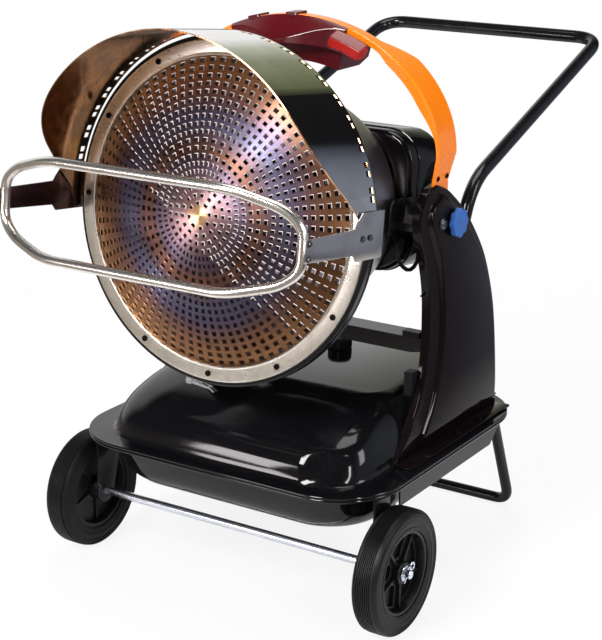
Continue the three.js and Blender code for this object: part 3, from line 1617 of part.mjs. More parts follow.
function burnerTube() {
  const wall = DRUM_WALL;
  const front = CHAMBER_REAR + CHAMBER_RADIUS / 2;
  const tube = revolvedForward(
    [
      [0, BURNER_TUBE_REAR],
      [BURNER_TUBE_RADIUS, BURNER_TUBE_REAR],
      [BURNER_TUBE_RADIUS, front],
      [BURNER_TUBE_RADIUS - wall, front],
      [BURNER_TUBE_RADIUS - wall, BURNER_TUBE_REAR + wall],
      [0, BURNER_TUBE_REAR + wall],
    ],
    DISC_SEGMENTS / 2,
  );
  return piece('burner_tube', tube, 'stainless');
}

function fuelNozzle() {
  const base = BURNER_TUBE_REAR + DRUM_WALL + SEAT_GAP;
  const nozzle = revolvedForward(
    [
      [0, CHAMBER_REAR],
      [NOZZLE_TIP_RADIUS, CHAMBER_REAR],
      [NOZZLE_RADIUS, CHAMBER_REAR - NOZZLE_TAPER],
      [NOZZLE_RADIUS, base],
      [0, base],
    ],
    NOZZLE_SIDES,
  );
  return piece('fuel_nozzle', nozzle, 'brass');
}

// Visor

// Shares of the visor's reach and of its radius along the slanting side edge.
const VISOR_EDGE_SHARES = [
  [0.07, -0.14],
  [0.12, 0],
  [0.34, 0.124],
  [0.51, 0.22],
  [0.7, 0.32],
  [0.84, 0.42],
  [0.93, 0.52],
  [0.98, 0.64],
  [1, 0.8],
];

function visor() {
  const low = VISOR_LOW_DEGREES;
  const outline = [
    ...arcPoints(0, 0, VISOR_RADIUS, low, HALF_CIRCLE - low, VISOR_STEPS),
    ...arcPoints(0, 0, VISOR_RADIUS - VISOR_SHEET, HALF_CIRCLE - low, low, VISOR_STEPS),
  ];
  const sheet = frontPlate(outline, VISOR_REAR, VISOR_REAR + VISOR_REACH);
  const edge = VISOR_EDGE_SHARES.map(([reachShare, riseShare]) => [
    -VISOR_REAR - VISOR_REACH * reachShare,
    VISOR_RADIUS * riseShare,
  ]);
  const beyond = -VISOR_REAR - VISOR_REACH - OVERRUN;
  const outside = [[beyond, edge[0][1]], [beyond, edge.at(-1)[1]], ...[...edge].reverse()];
  const sideCut = sidePlate(outside, -VISOR_RADIUS - OVERRUN, VISOR_RADIUS + OVERRUN);
  const slots = [];
  for (let i = 0; i < SLOT_COUNT; i += 1) {
    const degrees = SLOT_FIRST_DEGREES + SLOT_PITCH_DEGREES * i;
    const punch = new THREE.BoxGeometry(VISOR_SHEET * 2 + OVERRUN / 4, SLOT_LENGTH, SLOT_WIDTH);
    punch.translate(VISOR_RADIUS, -VISOR_REAR - SLOT_FROM_REAR, 0);
    slots.push(solidOf(punch.rotateY(-THREE.MathUtils.degToRad(degrees))));
  }
  return piece('visor', cutBy(sheet, sideCut, joined(slots)), 'mirror');
}

// Guard

function guardLoop() {
  const at = (x, z, sweepShare) => new THREE.Vector3(x, -(GUARD_FRONT - GUARD_SWEEP * sweepShare), z);
  const shoulderSweep = (GUARD_SHOULDER - GUARD_STRAIGHT) / (GUARD_HALF_LENGTH - GUARD_STRAIGHT);
  const quarter = [
    at(GUARD_HALF_LENGTH, GUARD_END_HEIGHT, 1),
    at(GUARD_SHOULDER, GUARD_SHOULDER_HEIGHT, shoulderSweep),
    at(GUARD_STRAIGHT, GUARD_HALF_HEIGHT, 0),
  ];
  const flip = (points, x, z) => points.map((p) => new THREE.Vector3(p.x * x, p.y, p.z * z));
  const corners = [
    ...quarter,
    ...flip(quarter, -1, 1).reverse(),
    ...flip(quarter, -1, -1),
    ...flip(quarter, 1, -1).reverse(),
  ];
  return piece('guard_loop', closedTube(corners, GUARD_BEND, 2, GUARD_TUBE), 'stainless');
}

function guardBracket(side, label) {
  const faceX = GUARD_HALF_LENGTH + GUARD_TUBE + SEAT_GAP;
  const outline = [
    [-GUARD_PLATE_REAR, GUARD_PLATE_BOTTOM],
    [-GUARD_PLATE_REAR, GUARD_PLATE_TOP],
    [-GUARD_PLATE_FRONT + GUARD_CHAMFER, GUARD_PLATE_TOP],
    [-GUARD_PLATE_FRONT, GUARD_PLATE_TOP - GUARD_CHAMFER],
    [-GUARD_PLATE_FRONT - GUARD_CHAMFER / 2, GUARD_TONGUE_HALF],
    [-GUARD_TONGUE_END, GUARD_TONGUE_HALF - SHEET],
    [-GUARD_TONGUE_END, -GUARD_TONGUE_HALF + SHEET],
    [-GUARD_PLATE_FRONT - GUARD_CHAMFER / 2, -GUARD_TONGUE_HALF],
    [-GUARD_PLATE_FRONT, GUARD_PLATE_BOTTOM],
  ];
  const plate = sidePlate(outline, faceX, faceX + GUARD_PLATE);
  const padDepth = VISOR_REAR - SEAT_GAP - GUARD_PLATE_REAR;
  const padStart = -bandFlat();
  const pad = box(
    faceX + SEAT_GAP - padStart,
    padDepth,
    GUARD_TONGUE_HALF,
    (faceX + SEAT_GAP + padStart) / 2,
    -GUARD_PLATE_REAR - padDepth / 2,
    0,
  );
  const bolted = joined(plate, pad, guardBoltHeads(faceX + GUARD_PLATE));
  const mesh = piece(`guard_bracket_${label}`, bolted, 'stainless');
  mesh.scale.x = side;
  return mesh;
}

function guardBoltHeads(faceX) {
  const tubeEnd = GUARD_FRONT - GUARD_SWEEP;
  const middle = (GUARD_PLATE_REAR + GUARD_PLATE_FRONT) / 2 + GUARD_BOLT_SPACING;
  const places = [
    [tubeEnd, GUARD_BOLT_SPACING / 2],
    [tubeEnd, -GUARD_BOLT_SPACING / 2],
    [middle, SHEET],
    [middle - GUARD_BOLT_SPACING, SHEET],
  ];
  return places.map(([forward, up]) => {
    const head = new THREE.CylinderGeometry(
      GUARD_BOLT_RADIUS,
      GUARD_BOLT_RADIUS * BOLT_TIP_SHARE,
      GUARD_BOLT_HEIGHT,
      SCREW_SIDES,
    );
    return solidOf(head.rotateZ(Math.PI / 2).translate(faceX + GUARD_BOLT_HEIGHT / 4, -forward, up));
  });
}

// Latch of the clamp band

function bandFlat() {
  return -BAND_RADIUS * Math.cos(Math.PI / RING_SEGMENTS) - SEAT_GAP;
}

function latchBase() {
  const top = bandFlat();
  const y = -(BAND_FRONT - BAND_WIDTH / 2);
  const plate = box(LATCH_BASE_LENGTH, LATCH_WIDTH, LATCH_SHEET, 0, y, top - LATCH_SHEET / 2);
  const ears = [-1, 1].map((side) =>
    box(
      LATCH_EAR,
      LATCH_SHEET,
      LATCH_EAR,
      -LATCH_BASE_LENGTH / 2 + LATCH_EAR / 2,
      y + (side * (LATCH_WIDTH - LATCH_SHEET)) / 2,
      top - LATCH_EAR / 2,
    ),
  );
  return piece('latch_base', joined(plate, ears), 'zinc');
}

function latchPinPlace() {
  const top = bandFlat();
  return { x: -LATCH_BASE_LENGTH / 2 + LATCH_EAR / 2, z: top - LATCH_EAR * LATCH_PIN_SHARE };
}

function latchLever() {
  const pin = latchPinPlace();
  const y = -(BAND_FRONT - BAND_WIDTH / 2);
  const innerWidth = LATCH_WIDTH - LATCH_SHEET * 2 - SEAT_GAP * 2;
  const outline = [
    [pin.x - LATCH_PIN_RADIUS, pin.z - LATCH_PIN_RADIUS],
    [pin.x + LATCH_PIN_RADIUS, pin.z - LATCH_PIN_RADIUS - LATCH_SAG],
    [pin.x + LATCH_LEVER_LENGTH - LATCH_TIP, pin.z - LATCH_PIN_RADIUS - LATCH_SAG / 2],
    [pin.x + LATCH_LEVER_LENGTH, pin.z - LATCH_PIN_RADIUS - LATCH_TIP_SAG],
    [pin.x + LATCH_LEVER_LENGTH, pin.z - LATCH_TIP_SAG],
    [pin.x + LATCH_LEVER_LENGTH - LATCH_TIP, pin.z],
    [pin.x + LATCH_PIN_RADIUS * 2, pin.z + LATCH_PIN_RADIUS],
    [pin.x - LATCH_PIN_RADIUS, pin.z + LATCH_PIN_RADIUS],
  ];
  const lever = frontPlate(outline, -y - innerWidth / 2, -y + innerWidth / 2);
  return piece('latch_lever', lever, 'zinc');
}

// Burner housing

function housingOutline(inset) {
  return roundedRectangle(
    -HOUSING_HALF_WIDTH + inset,
    HOUSING_HALF_WIDTH - inset,
    HOUSING_BOTTOM + inset,
    HOUSING_TOP - inset,
    HOUSING_CORNER - inset,
    HOUSING_CORNER_STEPS,
  );
}

function burnerHousing() {
  const outer = frontPlate(housingOutline(0), HOUSING_REAR, HOUSING_FRONT, SHEET);
  const innerRear = HOUSING_REAR + HOUSING_WALL;
  const inner = frontPlate(housingOutline(HOUSING_WALL), innerRear, HOUSING_FRONT + OVERRUN);
  const inletRear = HOUSING_REAR - OVERRUN;
  const inlet = rodForward(INLET_RADIUS, inletRear, innerRear + OVERRUN, 0, inletRise(), ROUND_STEPS);
  const room = drumProfile(SEAT_GAP);
  const drumRoom = revolvedForward([[0, DRUM_FRONT], ...room, [0, room.at(-1)[1]]], RING_SEGMENTS);
  const hollowed = cutBy(outer, inner, inlet, drumRoom.translate([0, 0, RING_RISE]));
  return piece('burner_housing', hollowed, 'blackGloss');
}

function inletRise() {
  return (HOUSING_TOP + HOUSING_BOTTOM) / 2;
}

function inletGrille() {
  const rear = HOUSING_REAR - INLET_SHEET - SEAT_GAP;
  const ring = revolvedForward(
    closedProfile([
      [INLET_RADIUS - INLET_BAR, rear],
      [INLET_RADIUS + INLET_BAR * 2, rear],
      [INLET_RADIUS + INLET_BAR * 2, rear + INLET_SHEET],
      [INLET_RADIUS - INLET_BAR, rear + INLET_SHEET],
    ]),
    ROUND_STEPS,
  );
  const bars = [];
  for (let i = 0; i < INLET_BARS; i += 1) {
    const offset = ((2 * (i + 1)) / (INLET_BARS + 1) - 1) * INLET_RADIUS;
    const half = Math.sqrt(INLET_RADIUS ** 2 - offset ** 2);
    bars.push(box(half * 2, INLET_SHEET, INLET_BAR, 0, -rear - INLET_SHEET / 2, offset));
  }
  return piece('inlet_grille', joined(ring, bars).translate([0, 0, inletRise()]), 'blackPlastic');
}

function fanWheel() {
  const rear = HOUSING_REAR + HOUSING_WALL * 2;
  const front = rear + FAN_DEPTH;
  const backPlate = revolvedForward(
    closedProfile([
      [LEAD_RADIUS + BORE_CLEARANCE, front - SHEET],
      [FAN_RADIUS, front - SHEET],
      [FAN_RADIUS, front],
      [LEAD_RADIUS + BORE_CLEARANCE, front],
    ]),
    DISC_SEGMENTS / 2,
  );
  const hubRing = revolvedForward(
    closedProfile([
      [LEAD_RADIUS + BORE_CLEARANCE, rear],
      [FAN_HUB_RADIUS, rear],
      [FAN_HUB_RADIUS, front - SHEET / 2],
      [LEAD_RADIUS + BORE_CLEARANCE, front - SHEET / 2],
    ]),
    FAN_HUB_SIDES,
  );
  const blades = [];
  for (let i = 0; i < FAN_BLADES; i += 1) {
    const blade = new THREE.BoxGeometry(FAN_BLADE_LENGTH, FAN_DEPTH - SHEET / 2, FAN_BLADE_SHEET);
    const middle = (rear + front - SHEET / 2) / 2;
    blade.rotateY(FAN_BLADE_TURN).translate(FAN_BLADE_CENTRE, -middle, 0);
    blades.push(solidOf(blade.rotateY((FULL_TURN * i) / FAN_BLADES)));
  }
  const wheel = joined(backPlate, hubRing, blades);
  return piece('fan_wheel', wheel.translate([0, 0, inletRise()]), 'darkSteel');
}

function fanMotor() {
  const rear = HOUSING_REAR + HOUSING_WALL * 2 + FAN_DEPTH + FAN_REST;
  const front = BURNER_TUBE_REAR - SEAT_GAP;
  const motor = revolvedForward(
    [
      [0, front],
      [MOTOR_RADIUS - SHEET, front],
      [MOTOR_RADIUS, front - SHEET],
      [MOTOR_RADIUS, rear + SHEET],
      [MOTOR_RADIUS - SHEET, rear],
      [LEAD_RADIUS, rear],
      [LEAD_RADIUS, rear - FAN_DEPTH],
      [0, rear - FAN_DEPTH],
    ],
    ROUND_STEPS / 2,
  );
  return piece('fan_motor', motor.translate([0, 0, inletRise()]), 'zinc');
}

function fuelPump() {
  const x = MOTOR_RADIUS + SEAT_GAP + PUMP_SIZE / 2;
  const y = -BURNER_TUBE_REAR + SEAT_GAP + PUMP_SIZE;
  return piece('fuel_pump', box(PUMP_SIZE, PUMP_SIZE, PUMP_SIZE, x, y, inletRise()), 'brass');
}

function yoke(side, label) {
  const inner = HOUSING_HALF_WIDTH + SEAT_GAP;
  const outline = roundedRectangle(
    -YOKE_HALF_LENGTH,
    YOKE_HALF_LENGTH,
    -YOKE_HALF_HEIGHT,
    YOKE_HALF_HEIGHT,
    YOKE_HALF_HEIGHT / 2,
    YOKE_CORNER_STEPS,
  );
  const pad = sidePlate(outline, inner, inner + YOKE_SHEET);
  const sides = ROUND_STEPS / 2;
  const barrelEnd = QUADRANT_X - YOKE_SHEET - SEAT_GAP;
  const barrel = rodAlongX(PIVOT_BOSS_RADIUS, inner + YOKE_SHEET / 2, barrelEnd, 0, 0, sides);
  const boreRadius = PIVOT_BOLT_RADIUS + BORE_CLEARANCE;
  const bore = rodAlongX(boreRadius, inner - OVERRUN, QUADRANT_X + OVERRUN, 0, 0, sides);
  const mesh = piece(`pivot_yoke_${label}`, cutBy(joined(pad, barrel), bore), 'blackSatin');
  mesh.scale.x = side;
  return mesh;
}

// The clamp's slotted plate: the stud on the arm runs in its curved slot.
function quadrant() {
  const slotInner = STUD_OFFSET - STUD_RADIUS - BORE_CLEARANCE;
  const slotOuter = STUD_OFFSET + STUD_RADIUS + BORE_CLEARANCE;
  const rest = -STUD_REST_DEGREES + HEAD_TILT_DEGREES;
  const low = rest - SLOT_DOWN_DEGREES;
  const high = rest + SLOT_UP_DEGREES;
  const outline = [
    ...arcPoints(0, 0, QUADRANT_RADIUS, low - QUADRANT_MARGIN, high + QUADRANT_MARGIN, ARC_STEPS),
    ...arcPoints(0, 0, PIVOT_BOSS_RADIUS, QUADRANT_REAR_FROM, QUADRANT_REAR_TO, ARC_STEPS),
  ];
  const slot = [
    ...arcPoints(0, 0, slotOuter, low, high, ARC_STEPS),
    ...arcPoints(0, 0, slotInner, high, low, ARC_STEPS),
  ];
  const bore = boreOutline(0, 0, PIVOT_BOLT_RADIUS + SEAT_GAP);
  const plate = sidePlate(outline, QUADRANT_X - YOKE_SHEET, QUADRANT_X, 0, [bore, [...slot].reverse()]);
  return piece('tilt_quadrant', plate, 'zinc');
}

function headLead() {
  const x = HOUSING_HALF_WIDTH + LEAD_RADIUS + SEAT_GAP;
  const corners = LEAD_ROUTE_SHARES.map(
    ([out, ahead, down]) =>
      new THREE.Vector3(x + LEAD_RADIUS * out, HOUSING_FRONT * ahead, HOUSING_BOTTOM * down),
  );
  return piece('head_lead', bentTube(corners, LEAD_BEND, LEAD_STEPS, LEAD_RADIUS, WIRE_SIDES), 'rubber');
}

// Pivot hardware and clamp knob

function pivotBolt(side, label) {
  const inner = QUADRANT_X - YOKE_SHEET * 2 - MOTOR_RADIUS / 2;
  const outer = ARM_FACE_X + SEAT_GAP;
  const shank = rodAlongX(PIVOT_BOLT_RADIUS, inner, outer, 0, PIVOT_HEIGHT, ROUND_STEPS / 2);
  const nut = revolvedAboutX(
    [
      [0, ARM_FACE_X + SEAT_GAP],
      [DOME_NUT_RADIUS + DOME_NUT_FLANGE, ARM_FACE_X + SEAT_GAP],
      [DOME_NUT_RADIUS + DOME_NUT_FLANGE, ARM_FACE_X + DOME_NUT_FLANGE],
      [DOME_NUT_RADIUS, ARM_FACE_X + DOME_NUT_FLANGE],
      [DOME_NUT_RADIUS, ARM_FACE_X + DOME_NUT_LENGTH - DOME_NUT_FLANGE],
      [DOME_NUT_RADIUS / 2, ARM_FACE_X + DOME_NUT_LENGTH - DOME_NUT_FLANGE / 4],
      [0, ARM_FACE_X + DOME_NUT_LENGTH],
    ],
    BOLT_SIDES,
  );
  const mesh = piece(`pivot_bolt_${label}`, joined(shank, nut.translate([0, 0, PIVOT_HEIGHT])), 'zinc');
  mesh.scale.x = side;
  return mesh;
}

function clampStud() {
  const at = studPlace();
  const inner = QUADRANT_X - YOKE_SHEET - SHEET;
  const back = inner - STUD_RADIUS;
  const tip = ARM_FACE_X + KNOB_COLLAR / 2;
  const head = rodAlongX(STUD_HEAD_RADIUS, back, inner - SEAT_GAP, at.y, at.z, WIRE_SIDES);
  const shank = rodAlongX(STUD_RADIUS, back, tip, at.y, at.z, BOLT_SIDES);
  return piece('clamp_stud', joined(head, shank), 'zinc');
}

function tiltKnob() {
  const at = studPlace();
  const start = ARM_FACE_X + SEAT_GAP * 2;
  const outline = lobedOutline(KNOB_RADIUS, KNOB_LOBE_DEPTH, KNOB_LOBES, 2);
  const grip = start + KNOB_COLLAR;
  const head = sidePlate(outline, grip, grip + KNOB_THICKNESS, KNOB_LOBE_DEPTH);
  const collar = rodAlongX(KNOB_RADIUS / 2, start, grip + SHEET, 0, 0, BOLT_SIDES);
  const bore = rodAlongX(STUD_RADIUS + SEAT_GAP, start - OVERRUN, grip, 0, 0, BOLT_SIDES);
  const knob = cutBy(joined(head, collar), bore);
  return piece('tilt_knob', knob.translate([0, at.y, at.z]), 'blue');
}

// Assembly

const head = new THREE.Group();
head.add(
  emissionDisc(),
  frontRing(),
  clampBand(),
  latchBase(),
  latchLever(),
  drum(),
  combustionChamber(),
  burnerTube(),
  fuelNozzle(),
  visor(),
  guardLoop(),
  guardBracket(1, 'right'),
  guardBracket(-1, 'left'),
  burnerHousing(),
  inletGrille(),
  fanWheel(),
  fanMotor(),
  fuelPump(),
  yoke(1, 'right'),
  yoke(-1, 'left'),
  quadrant(),
  headLead(),
);
const latchParts = ['latch_base', 'latch_lever'].map((name) => head.getObjectByName(name));
for (const mesh of latchParts) mesh.rotation.y = Math.PI / RING_SEGMENTS;
for (const mesh of head.children) {
  const isRound = !/yoke|quadrant|housing|inlet|fan_|fuel_pump|lead/.test(mesh.name);
  if (isRound) mesh.position.z += RING_RISE;
}
head.rotation.x = -THREE.MathUtils.degToRad(HEAD_TILT_DEGREES);
head.position.z = PIVOT_HEIGHT;

const group = new THREE.Group();
group.add(
  wheelSet(1, 'right'),
  wheelSet(-1, 'left'),
  axle(),
  splitPinAt(1, 'right'),
  splitPinAt(-1, 'left'),
  axleBracket(1, 'right'),
  axleBracket(-1, 'left'),
  sideRail(1, 'right'),
  sideRail(-1, 'left'),
  tankUpper(),
  tankLower(),
  fillerNeck(),
  fuelCap(),
  drainPlug(),
  sideArm(1, 'right'),
  sideArm(-1, 'left'),
  sideBlock(),
  tie(),
  tieClip(),
  arch(),
  consoleHood(),
  consoleBody(),
  consoleCap(),
  powerSwitch(),
  thermostatDial(),
  pushHandle(),
  rearFoot(),
  pivotBolt(1, 'right'),
  pivotBolt(-1, 'left'),
  clampStud(),
  tiltKnob(),
  head,
);

// The object's origin is on the floor, under the middle of its length.
group.updateMatrixWorld(true);
const extent = new THREE.Box3().setFromObject(group);
group.position.y = -(extent.min.y + extent.max.y) / 2;

export default group;
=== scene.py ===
"""Infrared diesel heater on wheels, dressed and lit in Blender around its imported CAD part.

Lengths in the pieces are millimetres in the object's own drawing, as a maker would write
them. Every piece is drawn in its own flat or round frame, then laid into the object.
"""

import json
import logging
import math
from dataclasses import dataclass, field
from enum import Enum
from typing import Callable, Sequence

import bmesh
import bpy
from mathutils import Matrix, Vector


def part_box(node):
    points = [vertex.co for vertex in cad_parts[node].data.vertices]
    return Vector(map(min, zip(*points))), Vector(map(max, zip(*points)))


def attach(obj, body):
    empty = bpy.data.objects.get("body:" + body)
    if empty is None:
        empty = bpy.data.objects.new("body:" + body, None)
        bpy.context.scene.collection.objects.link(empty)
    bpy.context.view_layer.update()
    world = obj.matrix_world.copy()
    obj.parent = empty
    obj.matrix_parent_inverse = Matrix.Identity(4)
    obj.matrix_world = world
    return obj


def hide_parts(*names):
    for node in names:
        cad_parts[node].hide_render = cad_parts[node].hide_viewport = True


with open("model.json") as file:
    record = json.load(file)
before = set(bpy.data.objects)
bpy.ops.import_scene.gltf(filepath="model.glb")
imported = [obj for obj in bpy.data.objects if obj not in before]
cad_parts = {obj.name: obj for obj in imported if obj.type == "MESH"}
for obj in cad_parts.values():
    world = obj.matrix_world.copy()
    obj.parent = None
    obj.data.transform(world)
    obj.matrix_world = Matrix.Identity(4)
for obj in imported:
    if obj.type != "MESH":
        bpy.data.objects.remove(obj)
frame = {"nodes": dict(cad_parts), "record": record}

logging.basicConfig(level=logging.INFO, format="%(message)s")
log = logging.getLogger("heater")

MM = 0.001
FULL_TURN = 2 * math.pi
AXLE_Y = -216.0
AXLE_HEIGHT = 106.0
PIVOT_HEIGHT = 632.0
HEAD_TILT = math.radians(-7)
RING_RISE = 4.0
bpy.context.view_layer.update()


# The drawing's frame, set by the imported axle, then the head's frame at its pivot and the drum's.
AXLE_LOW, AXLE_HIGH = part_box("axle")
SHIFT = ((AXLE_LOW + AXLE_HIGH) / 2).y - AXLE_Y * MM
STAND = Matrix.Translation((0, SHIFT, 0)) @ Matrix.Scale(MM, 4)
HEAD = (
    Matrix.Translation((0, SHIFT, PIVOT_HEIGHT * MM))
    @ Matrix.Rotation(HEAD_TILT, 4, "X")
    @ Matrix.Scale(MM, 4)
)
DRUM = HEAD @ Matrix.Translation((0, 0, RING_RISE))

# FORWARD lays a piece that is drawn from the front, its third axis towards the viewer, and
# ALONG_X one that is drawn from the right, its third axis to the right.
FORWARD = Matrix(((1, 0, 0, 0), (0, 0, -1, 0), (0, 1, 0, 0), (0, 0, 0, 1)))
ALONG_X = Matrix(((0, 0, 1, 0), (1, 0, 0, 0), (0, 1, 0, 0), (0, 0, 0, 1)))
DRUM_FACE = DRUM @ FORWARD


# Finishes


class NodeTree:
    """Adds shading nodes to one tree and links them."""

    def __init__(self, tree: bpy.types.NodeTree) -> None:
        """Empties the tree.

        Args:
            tree: The tree to fill.
        """
        self.tree = tree
        self.tree.nodes.clear()

    def add(self, kind: str, **settings: object) -> bpy.types.Node:
        """Adds one node.

        Args:
            kind: Blender's own name for the node type.
            settings: Attributes to set on it.

        Returns:
            The new node.
        """
        node = self.tree.nodes.new(kind)
        for key, value in settings.items():
            setattr(node, key, value)
        return node

    def join(self, source: bpy.types.NodeSocket, target: bpy.types.NodeSocket) -> None:
        """Links one socket to another.

        Args:
            source: The socket that gives the value.
            target: The socket that takes it.
        """
        self.tree.links.new(source, target)

    def where(
        self, centre: Sequence[float] = (0, 0, 0), stretch: Sequence[float] = (1, 1, 1)
    ) -> bpy.types.NodeSocket:
        """Gives the surface point in the object's own metres.

        Args:
            centre: The point that becomes the origin.
            stretch: Scale along each axis.

        Returns:
            The vector socket.
        """
        spot = self.add("ShaderNodeTexCoord")
        moved = self.add("ShaderNodeVectorMath", operation="SUBTRACT")
        moved.inputs[1].default_value = centre
        self.join(spot.outputs["Object"], moved.inputs[0])
        mapping = self.add("ShaderNodeMapping")
        mapping.inputs["Scale"].default_value = stretch
        self.join(moved.outputs[0], mapping.inputs["Vector"])
        return mapping.outputs["Vector"]

    def noise(
        self, place: bpy.types.NodeSocket, scale: float, detail: float = 3, warp: float = 0
    ) -> bpy.types.NodeSocket:
        """Gives a cloudy pattern.

        Args:
            place: Where the pattern is read.
            scale: Patches per metre.
            detail: How fine the clouds go.
            warp: How much they twist.

        Returns:
            A value from 0 to 1.
        """
        cloud = self.add("ShaderNodeTexNoise")
        cloud.inputs["Scale"].default_value = scale
        cloud.inputs["Detail"].default_value = detail
        cloud.inputs["Distortion"].default_value = warp
        self.join(place, cloud.inputs["Vector"])
        return cloud.outputs["Fac"]

    def spread(
        self, value: bpy.types.NodeSocket, low: float, high: float, start: float = 0.3,
        end: float = 0.7,
    ) -> bpy.types.NodeSocket:
        """Stretches a value over a range.

        Args:
            value: The value to stretch.
            low: What start becomes.
            high: What end becomes.
            start: The value that gives low.
            end: The value that gives high.

        Returns:
            The stretched value.
        """
        node = self.add("ShaderNodeMapRange")
        node.inputs["From Min"].default_value = start
        node.inputs["From Max"].default_value = end
        node.inputs["To Min"].default_value = low
        node.inputs["To Max"].default_value = high
        self.join(value, node.inputs["Value"])
        return node.outputs["Result"]

    def ramp(self, value: bpy.types.NodeSocket, stops: Sequence[tuple]) -> bpy.types.NodeSocket:
        """Turns a value into a colour.

        Args:
            value: The value that picks the colour.
            stops: Pairs of position and linear colour.

        Returns:
            The colour socket.
        """
        node = self.add("ShaderNodeValToRGB")
        while len(node.color_ramp.elements) < len(stops):
            node.color_ramp.elements.new(0.5)
        for element, (position, colour) in zip(node.color_ramp.elements, stops):
            element.position = position
            element.color = (*colour, 1)
        self.join(value, node.inputs["Fac"])
        return node.outputs["Color"]

    def mixed(
        self, factor: bpy.types.NodeSocket, first: object, second: object
    ) -> bpy.types.NodeSocket:
        """Mixes two colours, each a socket or a fixed colour.

        Args:
            factor: 0 gives the first, 1 the second.
            first: A colour or colour socket.
            second: A colour or colour socket.

        Returns:
            The mixed colour.
        """
        node = self.add("ShaderNodeMix", data_type="RGBA")
        self.join(factor, node.inputs["Factor"])
        for key, value in (("A", first), ("B", second)):
            socket = next(s for s in node.inputs if s.name == key and s.type == "RGBA")
            if isinstance(value, bpy.types.NodeSocket):
                self.join(value, socket)
            else:
                socket.default_value = (*value, 1)
        return next(s for s in node.outputs if s.type == "RGBA")

    def math(
        self, operation: str, first: bpy.types.NodeSocket, second: object = 0.0
    ) -> bpy.types.NodeSocket:
        """Does one sum on a value.

        Args:
            operation: Blender's name for the sum.
            first: The value.
            second: A number or another value.

        Returns:
            The result.
        """
        node = self.add("ShaderNodeMath", operation=operation)
        self.join(first, node.inputs[0])
        if isinstance(second, bpy.types.NodeSocket):
            self.join(second, node.inputs[1])
        else:
            node.inputs[1].default_value = second
        return node.outputs[0]

    def glow(self, colour: object, strength: float) -> bpy.types.NodeSocket:
        """Gives a light of one colour, for the studio alone.

        Args:
            colour: A colour or colour socket.
            strength: Its strength.

        Returns:
            The shader socket.
        """
        node = self.add("ShaderNodeEmission")
        node.inputs["Strength"].default_value = strength
        if isinstance(colour, bpy.types.NodeSocket):
            self.join(colour, node.inputs["Color"])
        else:
            node.inputs["Color"].default_value = (*colour, 1)
        return node.outputs["Emission"]

    def either(
        self, factor: bpy.types.NodeSocket, first: bpy.types.NodeSocket, second: bpy.types.NodeSocket
    ) -> bpy.types.NodeSocket:
        """Mixes two shaders.

        Args:
            factor: 0 gives the first, 1 the second.
            first: A shader.
            second: A shader.

        Returns:
            The mixed shader.
        """
        node = self.add("ShaderNodeMixShader")
        self.join(factor, node.inputs[0])
        self.join(first, node.inputs[1])
        self.join(second, node.inputs[2])
        return node.outputs[0]


class Shader(NodeTree):
    """A new material with one principled shader."""

    def __init__(self, name: str) -> None:
        """Starts the material.

        Args:
            name: The material's name.
        """
        self.material = bpy.data.materials.new(name)
        self.material.use_nodes = True
        super().__init__(self.material.node_tree)
        self.output = self.add("ShaderNodeOutputMaterial")
        self.bsdf = self.add("ShaderNodeBsdfPrincipled")
        self.join(self.bsdf.outputs["BSDF"], self.output.inputs["Surface"])

    def bump(self, height: bpy.types.NodeSocket, strength: float, depth: float) -> None:
        """Roughens the surface's normal.

        Args:
            height: The height pattern.
            strength: From 0 to 1.
            depth: Depth of the pattern in metres.
        """
        node = self.add("ShaderNodeBump")
        node.inputs["Strength"].default_value = strength
        node.inputs["Distance"].default_value = depth
        self.join(height, node.inputs["Height"])
        self.join(node.outputs["Normal"], self.bsdf.inputs["Normal"])


@dataclass(frozen=True)
class Lacquer:
    """Paint or moulded plastic: a colour with cloudy variation, handling marks and fine grain.

    Attributes:
        name: The finish's plain name.
        slot: The record's material slot.
        colour: Linear colour.
        worn: Linear colour where it is rubbed or dusty.
        shine: Lowest and highest roughness.
        grain: Grains per metre.
        depth: Grain depth in metres.
        wear: How much of the worn colour shows.
        gloss: Strength of the mirror part.
    """

    name: str
    slot: str
    colour: tuple
    worn: tuple
    shine: tuple = (0.12, 0.2)
    grain: float = 900
    depth: float = 0.00004
    wear: float = 0.5
    gloss: float = 0.3

    def make(self) -> bpy.types.Material:
        """Builds the material.

        Returns:
            The new material.
        """
        s = Shader(self.name)
        place = s.where()
        cloud = s.noise(place, scale=9, detail=4, warp=0.4)
        scuff = s.noise(s.where(stretch=(1, 3, 1)), scale=60, detail=5, warp=0.2)
        marks = s.math("MULTIPLY", s.spread(cloud, 0, 1, start=0.42, end=0.72),
                       s.spread(scuff, 0, 1, start=0.45, end=0.75))
        amount = s.math("MULTIPLY", marks, self.wear)
        s.join(s.mixed(amount, self.colour, self.worn), s.bsdf.inputs["Base Color"])
        smudges = s.math("ADD", cloud, s.math("MULTIPLY", scuff, 0.5))
        s.join(s.spread(smudges, *self.shine, start=0.5, end=1.0), s.bsdf.inputs["Roughness"])
        s.bsdf.inputs["Specular IOR Level"].default_value = self.gloss
        s.bump(s.noise(place, self.grain, detail=2), strength=0.25, depth=self.depth)
        return s.material


